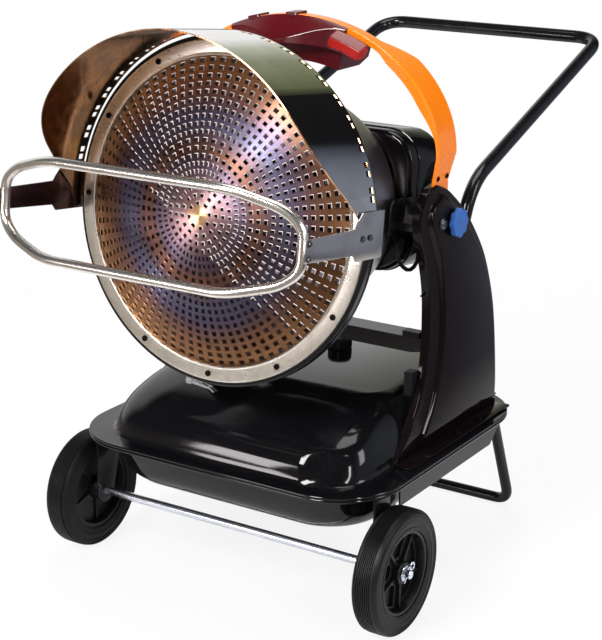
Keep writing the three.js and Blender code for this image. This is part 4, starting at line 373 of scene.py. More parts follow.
@dataclass(frozen=True)
class BareMetal:
    """Plain, plated or brushed metal with streaks and smudges.

    Attributes:
        name: The finish's plain name.
        slot: The record's material slot.
        colour: Linear colour.
        dull: Linear colour of the smudges.
        shine: Lowest and highest roughness.
        brush: Stretch of the brushing pattern along each axis.
        grain: Streaks per metre.
        depth: Depth of the brushing in metres.
        smear: Stretch of the smudges along each axis.
    """

    name: str
    slot: str
    colour: tuple
    dull: tuple
    shine: tuple = (0.15, 0.3)
    brush: tuple = (1, 1, 1)
    grain: float = 500
    depth: float = 0.00003
    smear: tuple = (1, 1, 1)

    def make(self) -> bpy.types.Material:
        """Builds the material.

        Returns:
            The new material.
        """
        s = Shader(self.name)
        cloud = s.noise(s.where(stretch=self.smear), scale=14, detail=4, warp=0.8)
        streak = s.noise(s.where(stretch=self.brush), self.grain)
        smudges = s.spread(cloud, 0, 1, start=0.35, end=0.75)
        s.join(s.mixed(smudges, self.colour, self.dull), s.bsdf.inputs["Base Color"])
        s.join(s.spread(s.math("MULTIPLY", s.math("ADD", cloud, streak), 0.5), *self.shine),
               s.bsdf.inputs["Roughness"])
        s.bsdf.inputs["Metallic"].default_value = 1
        s.bump(streak, strength=0.2, depth=self.depth)
        return s.material


@dataclass(frozen=True)
class HeatTint:
    """Turned steel discoloured by heat: colour rings, radial glints and soot.

    Attributes:
        name: The finish's plain name.
        slot: The record's material slot.
        radius: Radius of the disc in metres.
        stops: Colour of each share of the radius.
        shine: Lowest and highest roughness.
        turned: How far the turning marks stretch the glints.
        soot: Linear colour of the soot.
    """

    name: str
    slot: str
    radius: float
    stops: tuple
    shine: tuple = (0.2, 0.34)
    turned: float = 0.75
    soot: tuple = (0.05, 0.035, 0.03)

    def make(self) -> bpy.types.Material:
        """Builds the material.

        Returns:
            The new material.
        """
        s = Shader(self.name)
        middle = DRUM @ Vector((0, 0, 0))
        axis = (DRUM.to_3x3() @ Vector((0, -1, 0))).normalized()
        round_it = s.add("ShaderNodeVectorMath", operation="CROSS_PRODUCT")
        round_it.inputs[0].default_value = axis
        s.join(s.where(centre=middle), round_it.inputs[1])
        reach = s.add("ShaderNodeVectorMath", operation="LENGTH")
        s.join(round_it.outputs[0], reach.inputs[0])
        share = s.math("DIVIDE", reach.outputs["Value"], self.radius)
        blotch = s.noise(s.where(centre=middle), scale=7, detail=4, warp=0.8)
        fine = s.noise(s.where(centre=middle), scale=45, warp=0.3)
        shifted = s.math("ADD", share, s.math("MULTIPLY", s.math("SUBTRACT", blotch, 0.5), 0.16))
        tint = s.ramp(shifted, self.stops)
        sooty = s.spread(fine, 0, 0.35, start=0.45, end=0.8)
        s.join(s.mixed(sooty, tint, self.soot), s.bsdf.inputs["Base Color"])
        s.join(s.spread(s.math("MULTIPLY", s.math("ADD", blotch, fine), 0.5), *self.shine),
               s.bsdf.inputs["Roughness"])
        s.bsdf.inputs["Metallic"].default_value = 1
        s.bsdf.inputs["Anisotropic"].default_value = self.turned
        s.bsdf.inputs["Anisotropic Rotation"].default_value = 0.25
        turning = s.add("ShaderNodeVectorTransform", vector_type="VECTOR", convert_from="OBJECT",
                        convert_to="WORLD")
        s.join(round_it.outputs[0], turning.inputs["Vector"])
        s.join(turning.outputs["Vector"], s.bsdf.inputs["Tangent"])
        s.bump(fine, strength=0.15, depth=0.0003)
        return s.material


FINISHES = {
    "disc_steel": HeatTint(
        "heat tinted disc", "heat_tinted", radius=0.251, shine=(0.26, 0.38), turned=0.93, stops=(
            (0.0, (1.0, 0.78, 0.36)), (0.05, (0.95, 0.6, 0.34)), (0.1, (0.46, 0.28, 0.28)),
            (0.2, (0.23, 0.15, 0.17)), (0.3, (0.14, 0.105, 0.15)), (0.36, (0.13, 0.08, 0.09)),
            (0.41, (0.19, 0.09, 0.06)), (0.47, (0.13, 0.08, 0.085)), (0.58, (0.1, 0.1, 0.155)),
            (0.68, (0.095, 0.075, 0.12)), (0.78, (0.15, 0.08, 0.065)), (0.88, (0.22, 0.11, 0.055)),
            (1.0, (0.26, 0.14, 0.07)))),
    # Near-white lips for the disc: a painted highlight on the lips that face the upper right.
    "lip_steel": Lacquer(
        "punched lips with painted highlight", "heat_tinted", (0.95, 0.86, 0.84), (0.7, 0.5, 0.46), shine=(0.25, 0.4), grain=300,
        depth=0.00002, wear=0.8, gloss=0.8),
    "ring_steel": BareMetal(
        "ring steel", "stainless", (0.95, 0.92, 0.86), (0.72, 0.68, 0.6), shine=(0.25, 0.34),
        brush=(1, 1, 6), grain=40, depth=0.000001, smear=(3, 3, 1)),
    # A dark copy of the bracket steel, used on the left bracket only: painted shade.
    "burnt_steel": BareMetal(
        "bracket steel darkened as painted shade", "stainless", (0.12, 0.075, 0.07), (0.07, 0.045, 0.045),
        shine=(0.18, 0.32)),
    "guard_steel": BareMetal(
        "guard steel", "stainless", (0.84, 0.82, 0.78), (0.7, 0.67, 0.62), shine=(0.25, 0.27), grain=40,
        depth=0.000001),
    "dish_steel": BareMetal(
        "dish steel", "dark_steel", (0.5, 0.46, 0.49), (0.36, 0.33, 0.35), shine=(0.24, 0.38)),
    # Brown heat tint with orange streaks painted as highlights; on the visor's forward edges it is painted
    # shade.
    "visor_lining": BareMetal(
        "heated visor lining", "mirror_steel", (0.4, 0.25, 0.17), (0.85, 0.46, 0.2), shine=(0.08, 0.18),
        grain=60, depth=0.00002, smear=(4, 4, 0.5)),
    "nut_steel": BareMetal(
        "dull nut steel", "zinc", (0.2, 0.2, 0.21), (0.1, 0.1, 0.11), shine=(0.2, 0.34)),
    "visor_steel": BareMetal(
        "visor steel", "mirror_steel", (0.78, 0.77, 0.75), (0.62, 0.6, 0.57), shine=(0.03, 0.08),
        grain=60, depth=0.00002),
    "black_gloss": Lacquer(
        "gloss black enamel", "black_gloss", (0.0035, 0.0033, 0.004), (0.012, 0.012, 0.014),
        shine=(0.05, 0.13), grain=500, depth=0.00002, wear=0.4, gloss=0.34),
    "arm_black": Lacquer(
        "brownish black enamel", "black_gloss", (0.0055, 0.0032, 0.0034), (0.012, 0.009, 0.01),
        shine=(0.05, 0.13), grain=500, depth=0.00002, wear=0.4, gloss=0.14),
    "black_satin": Lacquer(
        "satin black enamel", "black_satin", (0.005, 0.005, 0.006), (0.018, 0.018, 0.02),
        shine=(0.1, 0.18), grain=260, depth=0.000008, gloss=0.34),
    "black_plastic": Lacquer(
        "black plastic", "black_plastic", (0.006, 0.006, 0.007), (0.02, 0.02, 0.022), shine=(0.3, 0.42),
        grain=1800, depth=0.00006, gloss=0.25),
    "tyre_rubber": Lacquer(
        "tyre rubber", "tyre_rubber", (0.004, 0.0036, 0.0045), (0.014, 0.013, 0.014), shine=(0.36, 0.5),
        grain=2200, depth=0.00006, wear=0.7, gloss=0.22),
    "lead_rubber": Lacquer(
        "lead rubber", "lead_rubber", (0.006, 0.006, 0.006), (0.02, 0.02, 0.02), shine=(0.3, 0.45),
        grain=1500, depth=0.00008, wear=0.6),
    "zinc": BareMetal(
        "bright zinc plate", "zinc", (0.86, 0.9, 1.0), (0.7, 0.75, 0.85), shine=(0.22, 0.25), grain=60,
        depth=0.000001),
    "stainless": BareMetal(
        "brushed stainless", "stainless", (0.62, 0.6, 0.58), (0.5, 0.47, 0.44), shine=(0.12, 0.24),
        grain=60),
    "mirror_steel": BareMetal(
        "mirror stainless", "mirror_steel", (0.72, 0.7, 0.67), (0.6, 0.58, 0.55), shine=(0.03, 0.09),
        grain=60, depth=0.00002),
    "heat_tinted": BareMetal(
        "heat tinted steel", "heat_tinted", (0.3, 0.2, 0.14), (0.2, 0.14, 0.12), shine=(0.2, 0.32)),
    "dark_steel": BareMetal(
        "dark steel", "dark_steel", (0.014, 0.012, 0.011), (0.007, 0.006, 0.006), shine=(0.5, 0.7)),
    "orange_paint": Lacquer(
        "orange enamel", "orange_paint", (0.95, 0.22, 0.003), (0.98, 0.3, 0.012), shine=(0.2, 0.3),
        depth=0.00001, wear=0.4, gloss=0.5),
    "maroon_plastic": Lacquer(
        "maroon plastic", "maroon_plastic", (0.075, 0.004, 0.007), (0.1, 0.008, 0.012),
        shine=(0.12, 0.24), grain=1300, depth=0.00003, gloss=0.5),
    "red_plastic": Lacquer(
        "red plastic", "red_plastic", (0.36, 0.007, 0.004), (0.42, 0.02, 0.012), shine=(0.22, 0.36),
        grain=1300, depth=0.00003),
    # A deeper red for the cap's upward faces: painted shade.
    "dark_red": Lacquer(
        "red plastic as painted shade", "red_plastic", (0.15, 0.006, 0.007), (0.2, 0.012, 0.012), shine=(0.14, 0.26),
        grain=1300, depth=0.00003, gloss=0.5),
    "blue_plastic": Lacquer(
        "blue plastic", "blue_plastic", (0.035, 0.12, 0.4), (0.09, 0.2, 0.5), shine=(0.25, 0.4),
        grain=1500, depth=0.00005),
    "brass": BareMetal(
        "brass", "brass", (0.6, 0.42, 0.16), (0.45, 0.3, 0.1), shine=(0.2, 0.35)),
}


class Paintbox:
    """Keeps one built material for each finish."""

    def __init__(self) -> None:
        """Starts with no material built."""
        self.made: dict[str, bpy.types.Material] = {}

    def get(self, key: str) -> bpy.types.Material:
        """Gives the material of a finish, built once.

        Args:
            key: The finish's name in FINISHES.

        Returns:
            The material.
        """
        if key not in self.made:
            self.made[key] = FINISHES[key].make()
        return self.made[key]


PAINTS = Paintbox()


# Studio


@dataclass
class Softbox:
    """One soft lamp that faces a point.

    Attributes:
        name: The lamp's name.
        place: Where it hangs, in metres.
        target: What it faces.
        size: Width and height in metres.
        power: Watts.
        colour: Linear colour.
        mirrored: True when metal shows it.
    """

    name: str
    place: tuple
    target: tuple
    size: tuple
    power: float
    colour: tuple = (1, 1, 1)
    mirrored: bool = True

    def hang(self) -> None:
        """Adds the lamp to the scene."""
        lamp = bpy.data.lights.new(self.name, "AREA")
        lamp.shape = "RECTANGLE"
        lamp.size, lamp.size_y = self.size
        lamp.energy = self.power
        lamp.color = self.colour
        stand = bpy.data.objects.new(self.name, lamp)
        stand.location = self.place
        facing = Vector(self.target) - Vector(self.place)
        stand.rotation_euler = facing.to_track_quat("-Z", "Y").to_euler()
        stand.visible_glossy = self.mirrored
        bpy.context.scene.collection.objects.link(stand)


@dataclass
class Studio:
    """Camera, lamps, floor and surroundings.

    Attributes:
        eye: Camera place in the drawing's millimetres, before the part's shift.
        look: The way the camera looks.
        focal: Focal length over picture height.
        film: Height of the camera's film in millimetres.
        aside: The lens's sideways shift.
        ground: Half the floor's size, in metres.
        lamps: The soft lamps.
    """

    eye: tuple = (1546.0, -2392.6, 1333.4)
    look: tuple = (-0.5191, 0.7982, -0.3056)
    focal: float = 1697.8 / 640
    film: float = 24.0
    aside: float = 0.003
    ground: float = 40.0
    lamps: list = field(default_factory=lambda: [
        Softbox("key", (-0.3, -3.3, 2.9), (0, -0.2, 0.6), (1.1, 1.1), 125, (1, 0.975, 0.96)),
        Softbox("front", (-1.35, -3.35, 1.05), (0, -0.25, 0.64), (0.85, 0.85), 38, (1, 0.93, 0.95)),
        Softbox("fill", (-2.4, -2.6, 1.2), (0, 0, 0.5), (1.6, 1.6), 25, (0.95, 0.97, 1), False),
        Softbox("strip", (2.7, -1.5, 1.5), (0, 0, 0.6), (0.22, 1.5), 30),
        Softbox("side", (3.4, 0.6, 2.2), (0, 0, 0.6), (0.8, 1.6), 30, (0.97, 0.98, 1)),
        Softbox("top", (0.1, 0.2, 3.2), (0, 0, 0.5), (1.8, 1.8), 42),
        Softbox("rim", (-1.6, 2.9, 2.9), (0, 0, 0.6), (1.6, 1.2), 45, (1, 1, 1), False),
    ])

    def camera(self) -> None:
        """Places the camera that matches the photo."""
        lens = bpy.data.cameras.new("camera")
        lens.sensor_fit = "VERTICAL"
        lens.sensor_height = self.film
        lens.lens = self.film * self.focal
        lens.shift_x = self.aside
        lens.clip_end = 100
        eye = bpy.data.objects.new("camera", lens)
        eye.location = STAND @ Vector(self.eye)
        eye.rotation_euler = Vector(self.look).to_track_quat("-Z", "Y").to_euler()
        bpy.context.scene.collection.objects.link(eye)
        bpy.context.scene.camera = eye

    def floor(self) -> None:
        """Lays a wide pale floor that shows the shadow and looks white.

        Metals mirror it pale close to the heater, and beyond that as the walls of the studio.
        """
        bm = bmesh.new()
        bmesh.ops.create_grid(bm, x_segments=1, y_segments=1, size=self.ground)
        mesh = bpy.data.meshes.new("floor")
        bm.to_mesh(mesh)
        bm.free()
        floor = bpy.data.objects.new("floor", mesh)
        bpy.context.scene.collection.objects.link(floor)
        s = Shader("studio floor")
        s.bsdf.inputs["Roughness"].default_value = 0.9
        place = s.where()
        cloud = s.noise(place, scale=0.6, detail=2)
        s.join(s.ramp(cloud, [(0, (0.8, 0.8, 0.8)), (1, (0.84, 0.84, 0.84))]), s.bsdf.inputs["Base Color"])
        reach = s.add("ShaderNodeVectorMath", operation="LENGTH")
        s.join(place, reach.inputs[0])
        ray = s.add("ShaderNodeLightPath")
        shown = s.math("MULTIPLY", ray.outputs["Is Camera Ray"],
                       s.spread(reach.outputs["Value"], 0.86, 1, start=0.9, end=2.4))
        pale = s.either(shown, s.bsdf.outputs["BSDF"], s.glow((1, 1, 1), 1))
        aside = s.add("ShaderNodeVectorMath", operation="DOT_PRODUCT")
        s.join(place, aside.inputs[0])
        aside.inputs[1].default_value = (0.6, 0.8, 0)
        wall = s.ramp(s.spread(aside.outputs["Value"], 0, 1, start=-2, end=3),
                      [(0.2, (0.3, 0.26, 0.22)), (0.46, (0.2, 0.17, 0.15)), (0.54, (0.03, 0.024, 0.024)),
                       (0.6, (0.04, 0.034, 0.036)), (0.66, (0.2, 0.21, 0.26)), (0.8, (0.27, 0.29, 0.35))])
        mirrored = s.math("MAXIMUM", ray.outputs["Is Glossy Ray"], ray.outputs["Is Transmission Ray"])
        beyond = s.math("MULTIPLY", mirrored, s.spread(reach.outputs["Value"], 0, 1, start=0.85, end=1.3))
        s.join(s.either(beyond, pale, s.glow(wall, 1)), s.output.inputs["Surface"])
        floor.data.materials.append(s.material)

    def surroundings(self) -> None:
        """Gives a white backdrop to the camera and a studio room to the metals.

        Glossy and transmitted rays meet the white backdrop at the back left, with the
        studio's darker wall, olive flag and ceiling beside and above it.
        """
        world = bpy.data.worlds.new("studio")
        world.use_nodes = True
        w = NodeTree(world.node_tree)
        out = w.add("ShaderNodeOutputWorld")
        spot = w.add("ShaderNodeTexCoord")
        parts = w.add("ShaderNodeSeparateXYZ")
        w.join(spot.outputs["Generated"], parts.inputs["Vector"])
        back = w.ramp(w.spread(parts.outputs["X"], 0, 1, start=-1, end=1), [
            (0.0, (1, 1, 1)), (0.26, (1, 1, 1)), (0.31, (0.6, 0.62, 0.52)), (0.38, (0.3, 0.33, 0.22)),
            (0.46, (0.19, 0.21, 0.12)), (0.5, (0.13, 0.15, 0.08)), (0.525, (0.012, 0.012, 0.012)),
            (0.675, (0.01, 0.01, 0.012)), (0.715, (0.15, 0.17, 0.22)), (0.8, (0.32, 0.35, 0.42)),
            (1.0, (0.36, 0.38, 0.42))])
        front = w.ramp(parts.outputs["Z"], [
            (0.0, (0.3, 0.27, 0.24)), (0.18, (0.14, 0.12, 0.11)), (0.36, (0.04, 0.036, 0.036)),
            (1.0, (0.03, 0.03, 0.03))])
        sides = w.mixed(w.spread(parts.outputs["Y"], 0, 1, start=-0.15, end=0.15), front, back)
        room = w.mixed(w.spread(parts.outputs["Z"], 0, 1, start=0.62, end=0.74), sides, (0.03, 0.03, 0.035))
        soft = w.ramp(parts.outputs["Z"], [
            (0.0, (0.62, 0.62, 0.62)), (0.3, (0.34, 0.34, 0.34)), (0.85, (0.12, 0.12, 0.13))])
        shades = []
        for colour in (soft, room):
            shade = w.add("ShaderNodeBackground")
            w.join(colour, shade.inputs["Color"])
            shades.append(shade.outputs["Background"])
        seen = w.add("ShaderNodeBackground")
        seen.inputs["Color"].default_value = (1, 1, 1, 1)
        ray = w.add("ShaderNodeLightPath")
        mirrored = w.math("MAXIMUM", ray.outputs["Is Glossy Ray"], ray.outputs["Is Transmission Ray"])
        w.join(w.either(ray.outputs["Is Camera Ray"], w.either(mirrored, *shades),
                        seen.outputs["Background"]), out.inputs["Surface"])
        bpy.context.scene.world = world

    def set_up(self) -> None:
        """Builds the whole studio."""
        self.camera()
        self.floor()
        self.surroundings()
        for lamp in self.lamps:
            lamp.hang()
        bpy.context.scene.view_settings.view_transform = "Standard"


# Modelling


# Corners closer than this are one, and edges flatter than this angle, in radians, are dissolved.
MERGE_DISTANCE = 0.002
FLAT_ANGLE = 0.001


class Form:
    """One body being modelled, in its own frame and in millimetres."""

    def __init__(self) -> None:
        """Starts an empty mesh."""
        self.bm = bmesh.new()

    def draw(self, points: Sequence[Sequence[float]], closed: bool = True) -> list:
        """Draws a run of edges.

        Args:
            points: Corners, each with three coordinates.
            closed: True to join the last corner to the first.

        Returns:
            The edges.
        """
        corners = [self.bm.verts.new(point) for point in points]
        pairs = list(zip(corners, corners[1:]))
        if closed:
            pairs.append((corners[-1], corners[0]))
        return [self.bm.edges.new(pair) for pair in pairs]

    def turn(self, profile: Sequence[tuple], steps: int, closed: bool = True) -> "Form":
        """Turns a profile of (radius, height) right round the upright axis.

        Args:
            profile: Corners of the profile.
            steps: How many faces go round.
            closed: True when the profile is a loop.

        Returns:
            This form.
        """
        edges = self.draw([(radius, 0, height) for radius, height in profile], closed)
        corners = list({corner for edge in edges for corner in edge.verts})
        bmesh.ops.spin(self.bm, geom=[*corners, *edges], cent=(0, 0, 0), axis=(0, 0, 1),
                       angle=FULL_TURN, steps=steps, use_merge=True)
        bmesh.ops.remove_doubles(self.bm, verts=self.bm.verts, dist=MERGE_DISTANCE)
        return self

    def bridge(self, rings: Sequence[list], closed: bool = False) -> "Form":
        """Skins the space between neighbouring rings of edges.

        Args:
            rings: The rings in order.
            closed: True to join the last ring to the first.

        Returns:
            This form.
        """
        pairs = list(zip(rings, rings[1:]))
        if closed:
            pairs.append((rings[-1], rings[0]))
        for first, second in pairs:
            bmesh.ops.bridge_loops(self.bm, edges=[*first, *second])
        return self

    def cap(self, *rings: list) -> "Form":
        """Closes rings of edges with a flat face each.

        Args:
            rings: The rings to close.

        Returns:
            This form.
        """
        for ring in rings:
            bmesh.ops.contextual_create(self.bm, geom=ring)
        return self

    def loft(self, sections: Sequence[Sequence]) -> "Form":
        """Skins a row of closed sections and closes both ends.

        Args:
            sections: Each section's corners, all with the same count.

        Returns:
            This form.
        """
        rings = [self.draw(section) for section in sections]
        return self.bridge(rings).cap(rings[0], rings[-1])

    def pipe(self, route: Sequence[Vector], radius: float, sides: int, closed: bool = False) -> "Form":
        """Bends a round tube along a route.

        Args:
            route: Points along the middle of the tube.
            radius: The tube's radius.
            sides: Faces round the tube.
            closed: True for an endless loop.

        Returns:
            This form.
        """
        rings = []
        for frame_at in frames_along(route, closed):
            made = bmesh.ops.create_circle(self.bm, cap_ends=False, segments=sides, radius=radius,
                                           matrix=frame_at)
            rings.append(list({edge for corner in made["verts"] for edge in corner.link_edges}))
        self.bridge(rings, closed)
        if not closed:
            self.cap(rings[0], rings[-1])
        return self

    def plate(
        self, outline: Sequence[tuple], low: float, high: float, holes: Sequence = ()
    ) -> "Form":
        """Raises a flat outline into a plate.

        Args:
            outline: Corners in the flat frame.
            low: Height of its underside.
            high: Height of its top.
            holes: Outlines that stay open.

        Returns:
            This form.
        """
        loops = [self.draw([(u, v, low) for u, v in ring]) for ring in (outline, *holes)]
        edges = [edge for ring in loops for edge in ring]
        if holes:
            made = bmesh.ops.triangle_fill(self.bm, edges=edges, use_beauty=True)["geom"]
        else:
            made = bmesh.ops.contextual_create(self.bm, geom=edges)["faces"]
        faces = [item for item in made if isinstance(item, bmesh.types.BMFace)]
        raised = bmesh.ops.extrude_face_region(self.bm, geom=faces)["geom"]
        bmesh.ops.translate(self.bm, vec=(0, 0, high - low),
                            verts=[item for item in raised if isinstance(item, bmesh.types.BMVert)])
        if holes:
            bmesh.ops.dissolve_limit(self.bm, angle_limit=FLAT_ANGLE, verts=self.bm.verts,
                                     edges=self.bm.edges, use_dissolve_boundaries=False,
                                     delimit=set())
        return self

    def block(self, size: Sequence[float], centre: Sequence[float]) -> "Form":
        """Makes a box to be softened or cut.

        Args:
            size: Its three sizes.
            centre: Its middle.

        Returns:
            This form.
        """
        place = Matrix.Translation(centre) @ Matrix.Diagonal((*size, 1))
        bmesh.ops.create_cube(self.bm, size=1, matrix=place)
        return self

    def soften(self, width: float, rounds: int = 2, angle: float = 30) -> "Form":
        """Rounds every edge that is sharper than an angle.

        Args:
            width: Width of the rounding.
            rounds: Faces across it.
            angle: Sharpness in degrees from which an edge is rounded.

        Returns:
            This form.
        """
        self.outward()
        limit = math.radians(angle)
        sharp = [e for e in self.bm.edges if e.is_manifold and e.calc_face_angle(0) > limit]
        bmesh.ops.bevel(self.bm, geom=sharp, offset=width, offset_type="OFFSET", segments=rounds,
                        profile=0.5, affect="EDGES", clamp_overlap=True, material=-1)
        return self

    def outward(self) -> "Form":
        """Turns every face's normal outwards.

        Returns:
            This form.
        """
        bmesh.ops.recalc_face_normals(self.bm, faces=self.bm.faces)
        return self

    def with_part(self, other: "Form", place: Matrix = Matrix.Identity(4)) -> "Form":
        """Adds a copy of another form to this one.

        Args:
            other: The form to add.
            place: Where it goes.

        Returns:
            This form.
        """
        other.outward()
        spare = bpy.data.meshes.new("spare")
        other.bm.to_mesh(spare)
        spare.transform(place)
        if place.determinant() < 0:
            spare.flip_normals()
        self.bm.from_mesh(spare)
        bpy.data.meshes.remove(spare)
        return self

    def done(
        self, name: str, body: str, paint: str, place: Matrix, replaces: Sequence[str] = (),
        sharp: float = 35, slot: str = "", lining: str = "",
    ) -> bpy.types.Object:
        """Turns the form into a finished piece of the heater.

        Args:
            name: The piece's name.
            body: The moving body that it rides on.
            paint: Its finish.
            place: Where the form's own frame lies in the heater.
            replaces: The CAD nodes that it stands for.
            sharp: Angle in degrees from which an edge stays crisp.
            slot: The material slot, when it isn't the paint's name; not used.
            lining: Finish of the faces marked with number 1.

        Returns:
            The new object.
        """
        bmesh.ops.transform(self.bm, matrix=place, verts=self.bm.verts)
        self.outward()
        mesh = bpy.data.meshes.new(name)
        self.bm.to_mesh(mesh)
        self.bm.free()
        mesh.shade_smooth()
        mesh.set_sharp_from_angle(angle=math.radians(sharp))
        piece = bpy.data.objects.new(name, mesh)
        bpy.context.scene.collection.objects.link(piece)
        for finish in filter(None, (paint, lining)):
            mesh.materials.append(PAINTS.get(finish))
        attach(piece, body)
        if replaces:
            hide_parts(*replaces)
        log.info("made %s: %d faces", name, len(mesh.polygons))
        return piece


def frames_along(route: Sequence[Vector], closed: bool) -> list:
    """Finds an untwisted frame at each point of a route.

    Args:
        route: Points along the route.
        closed: True when the last point leads back to the first.

    Returns:
        A matrix at each point, its third axis along the route.
    """
    count = len(route)
    frames = []
    across = None
    for i, point in enumerate(route):
        before = route[(i - 1) % count] if closed or i else route[0]
        after = route[(i + 1) % count] if closed or i < count - 1 else route[-1]
        ahead = (after - before).normalized()
        if across is None:
            across = ahead.orthogonal()
        across = (across - ahead * across.dot(ahead)).normalized()
        side = ahead.cross(across)
        frame_at = Matrix((across, side, ahead)).transposed().to_4x4()
        frame_at.translation = point
        frames.append(frame_at)
    return frames


def bent(corners: Sequence[Sequence[float]], bend: float, steps: int, closed: bool = False) -> list:
    """Rounds the corners of a route.

    Args:
        corners: The route's corners.
        bend: How far from a corner its bend begins.
        steps: Points in each bend.
        closed: True for an endless route.

    Returns:
        The points of the smooth route.
    """
    places = [Vector(corner) for corner in corners]
    count = len(places)
    route = []
    for i, corner in enumerate(places):
        if not closed and i in (0, count - 1):
            route.append(corner)
            continue
        back = places[(i - 1) % count] - corner
        ahead = places[(i + 1) % count] - corner
        reach = min(bend, back.length / 2.02, ahead.length / 2.02)
        start = corner + back.normalized() * reach
        end = corner + ahead.normalized() * reach
        for k in range(steps + 1):
            t = k / steps
            route.append(start * (1 - t) ** 2 + corner * 2 * t * (1 - t) + end * t * t)
    return route


def arc(centre: tuple, radius: float, start: float, end: float, steps: int) -> list:
    """Points on an arc in a flat frame.

    Args:
        centre: The arc's middle.
        radius: Its radius.
        start: First angle in degrees.
        end: Last angle in degrees.
        steps: Runs between the points.

    Returns:
        The points.
    """
    turns = [math.radians(start + (end - start) * i / steps) for i in range(steps + 1)]
    return [(centre[0] + radius * math.cos(t), centre[1] + radius * math.sin(t)) for t in turns]


def rounded_box(
    left: float, right: float, low: float, high: float, radius: float, steps: int = 10
) -> list:
    """A rectangle with round corners.

    Args:
        left: Left side.
        right: Right side.
        low: Lower side.
        high: Upper side.
        radius: Radius of the corners.
        steps: Runs round each corner.

    Returns:
        Its points.
    """
    points = []
    for u, v, start in ((right - radius, high - radius, 0), (left + radius, high - radius, 90),
                        (left + radius, low + radius, 180), (right - radius, low + radius, 270)):
        points += arc((u, v), radius, start, start + 90, steps)
    return points


def clamped(value: float) -> float:
    """Holds a value between 0 and 1."""
    return min(max(value, 0), 1)


def smooth(share: float) -> float:
    """Eases a share from 0 to 1 at both ends."""
    return share * share * (3 - 2 * share)


def eased(value: float, low: float, high: float) -> float:
    """A smooth step from 0 to 1.

    Args:
        value: Where to read it.
        low: Value at which it leaves 0.
        high: Value at which it reaches 1.

    Returns:
        A number from 0 to 1.
    """
    return smooth(clamped((value - low) / (high - low)))


def turns(count: int) -> list:
    """Gives the angles of equal steps round a circle, in radians."""
    return [FULL_TURN * i / count for i in range(count)]


def flowing(points: Sequence[Sequence[float]], steps: int) -> list:
    """A smooth curve through a row of points.

    Args:
        points: The points, with any number of coordinates.
        steps: Points between each pair.

    Returns:
        The points of the curve.
    """
    rows = [Vector(p) for p in points]
    rows = [rows[0] * 2 - rows[1], *rows, rows[-1] * 2 - rows[-2]]
    curve = []
    for a, b, c, d in zip(rows, rows[1:], rows[2:], rows[3:]):
        for k in range(steps):
            t = k / steps
            curve.append(0.5 * (b * 2 + (c - a) * t + (a * 2 - b * 5 + c * 4 - d) * t * t
                                + (b * 3 - a - c * 3 + d) * t ** 3))
    curve.append(rows[-2])
    return [tuple(p) for p in curve]


def inset(points: Sequence[tuple], distance: float) -> list:
    """Moves a closed outline inwards.

    Args:
        points: The outline, counterclockwise.
        distance: How far each corner moves.

    Returns:
        The new outline.
    """
    count = len(points)
    moved = []
    for i, (u, v) in enumerate(points):
        before, after = points[i - 1], points[(i + 1) % count]
        along = Vector((after[0] - before[0], after[1] - before[1])).normalized()
        moved.append((u - along.y * distance, v + along.x * distance))
    return moved


def lobes(radius: float, depth: float, count: int, steps: int) -> list:
    """A round outline with soft lobes.

    Args:
        radius: Radius over the lobes.
        depth: Depth between them.
        count: How many there are.
        steps: Points on each lobe.

    Returns:
        The outline.
    """
    ring = []
    for turn in turns(count * steps):
        reach = radius - depth * (1 - math.cos(turn * count)) / 2
        ring.append((reach * math.cos(turn), reach * math.sin(turn)))
    return ring


def mirrored_run(half: Sequence[tuple]) -> list:
    """A route that runs on from the right side to its mirror image on the left.

    Args:
        half: Corners on the right, the ones in the middle last.

    Returns:
        The corners of the whole route.
    """
    return [*half, *[(-x, y, z) for x, y, z in reversed(half)]]


class Side(Enum):
    """The two sides of the heater."""

    RIGHT = 1
    LEFT = -1

    @property
    def label(self) -> str:
        """The side's name as the CAD part writes it."""
        return self.name.lower()

    def mirror(self) -> Matrix:
        """Gives the matrix that lays a right-hand piece on this side."""
        return Matrix.Diagonal((self.value, 1, 1, 1))

    def place(self, centre: Sequence[float] = (0, 0, 0)) -> Matrix:
        """Lays a piece that is drawn from the side, its third axis pointing outwards.

        Args:
            centre: Where its origin goes, for the right-hand side.

        Returns:
            The matrix.
        """
        return STAND @ self.mirror() @ Matrix.Translation(centre) @ ALONG_X


class Fastener(Enum):
    """The two kinds of screw and bolt head."""

    SOCKET = "socket"
    HEXAGON = "hexagon"


# Faces round turned pieces, from slim rods to wheel rims, and round a fastener.
SLIM_ROUND = 32
SMALL_ROUND = 40
WHEEL_ROUND = 72
FASTENER_ROUND = 24
FASTENER_SUNK = 0.5


def bolt_head(radius: float, height: float, kind: Fastener = Fastener.SOCKET) -> Form:
    """A low fastener head: rounded with a socket, or a hexagon on a washer face.

    Args:
        radius: Radius of the head.
        height: Its height.
        kind: Which of the two it is.

    Returns:
        The head, standing on its own origin.
    """
    form = Form()
    if kind is Fastener.HEXAGON:
        rim, base = radius * 1.25, height * 0.2
        washer = Form().turn([(0, -FASTENER_SUNK), (rim, -FASTENER_SUNK), (rim, base), (0, base)],
                             FASTENER_ROUND, closed=False)
        corners = [(radius * math.cos(t), radius * math.sin(t)) for t in turns(6)]
        form.plate(corners, 0, height).soften(height * 0.15, 2)
        return form.with_part(washer)
    crown = [(0, -FASTENER_SUNK), (radius, -FASTENER_SUNK), (radius, height * 0.45),
             (radius * 0.86, height * 0.85), (radius * 0.5, height), (radius * 0.42, height * 0.55),
             (0, height * 0.5)]
    return form.turn(crown, FASTENER_ROUND, closed=False)


# Undercarriage


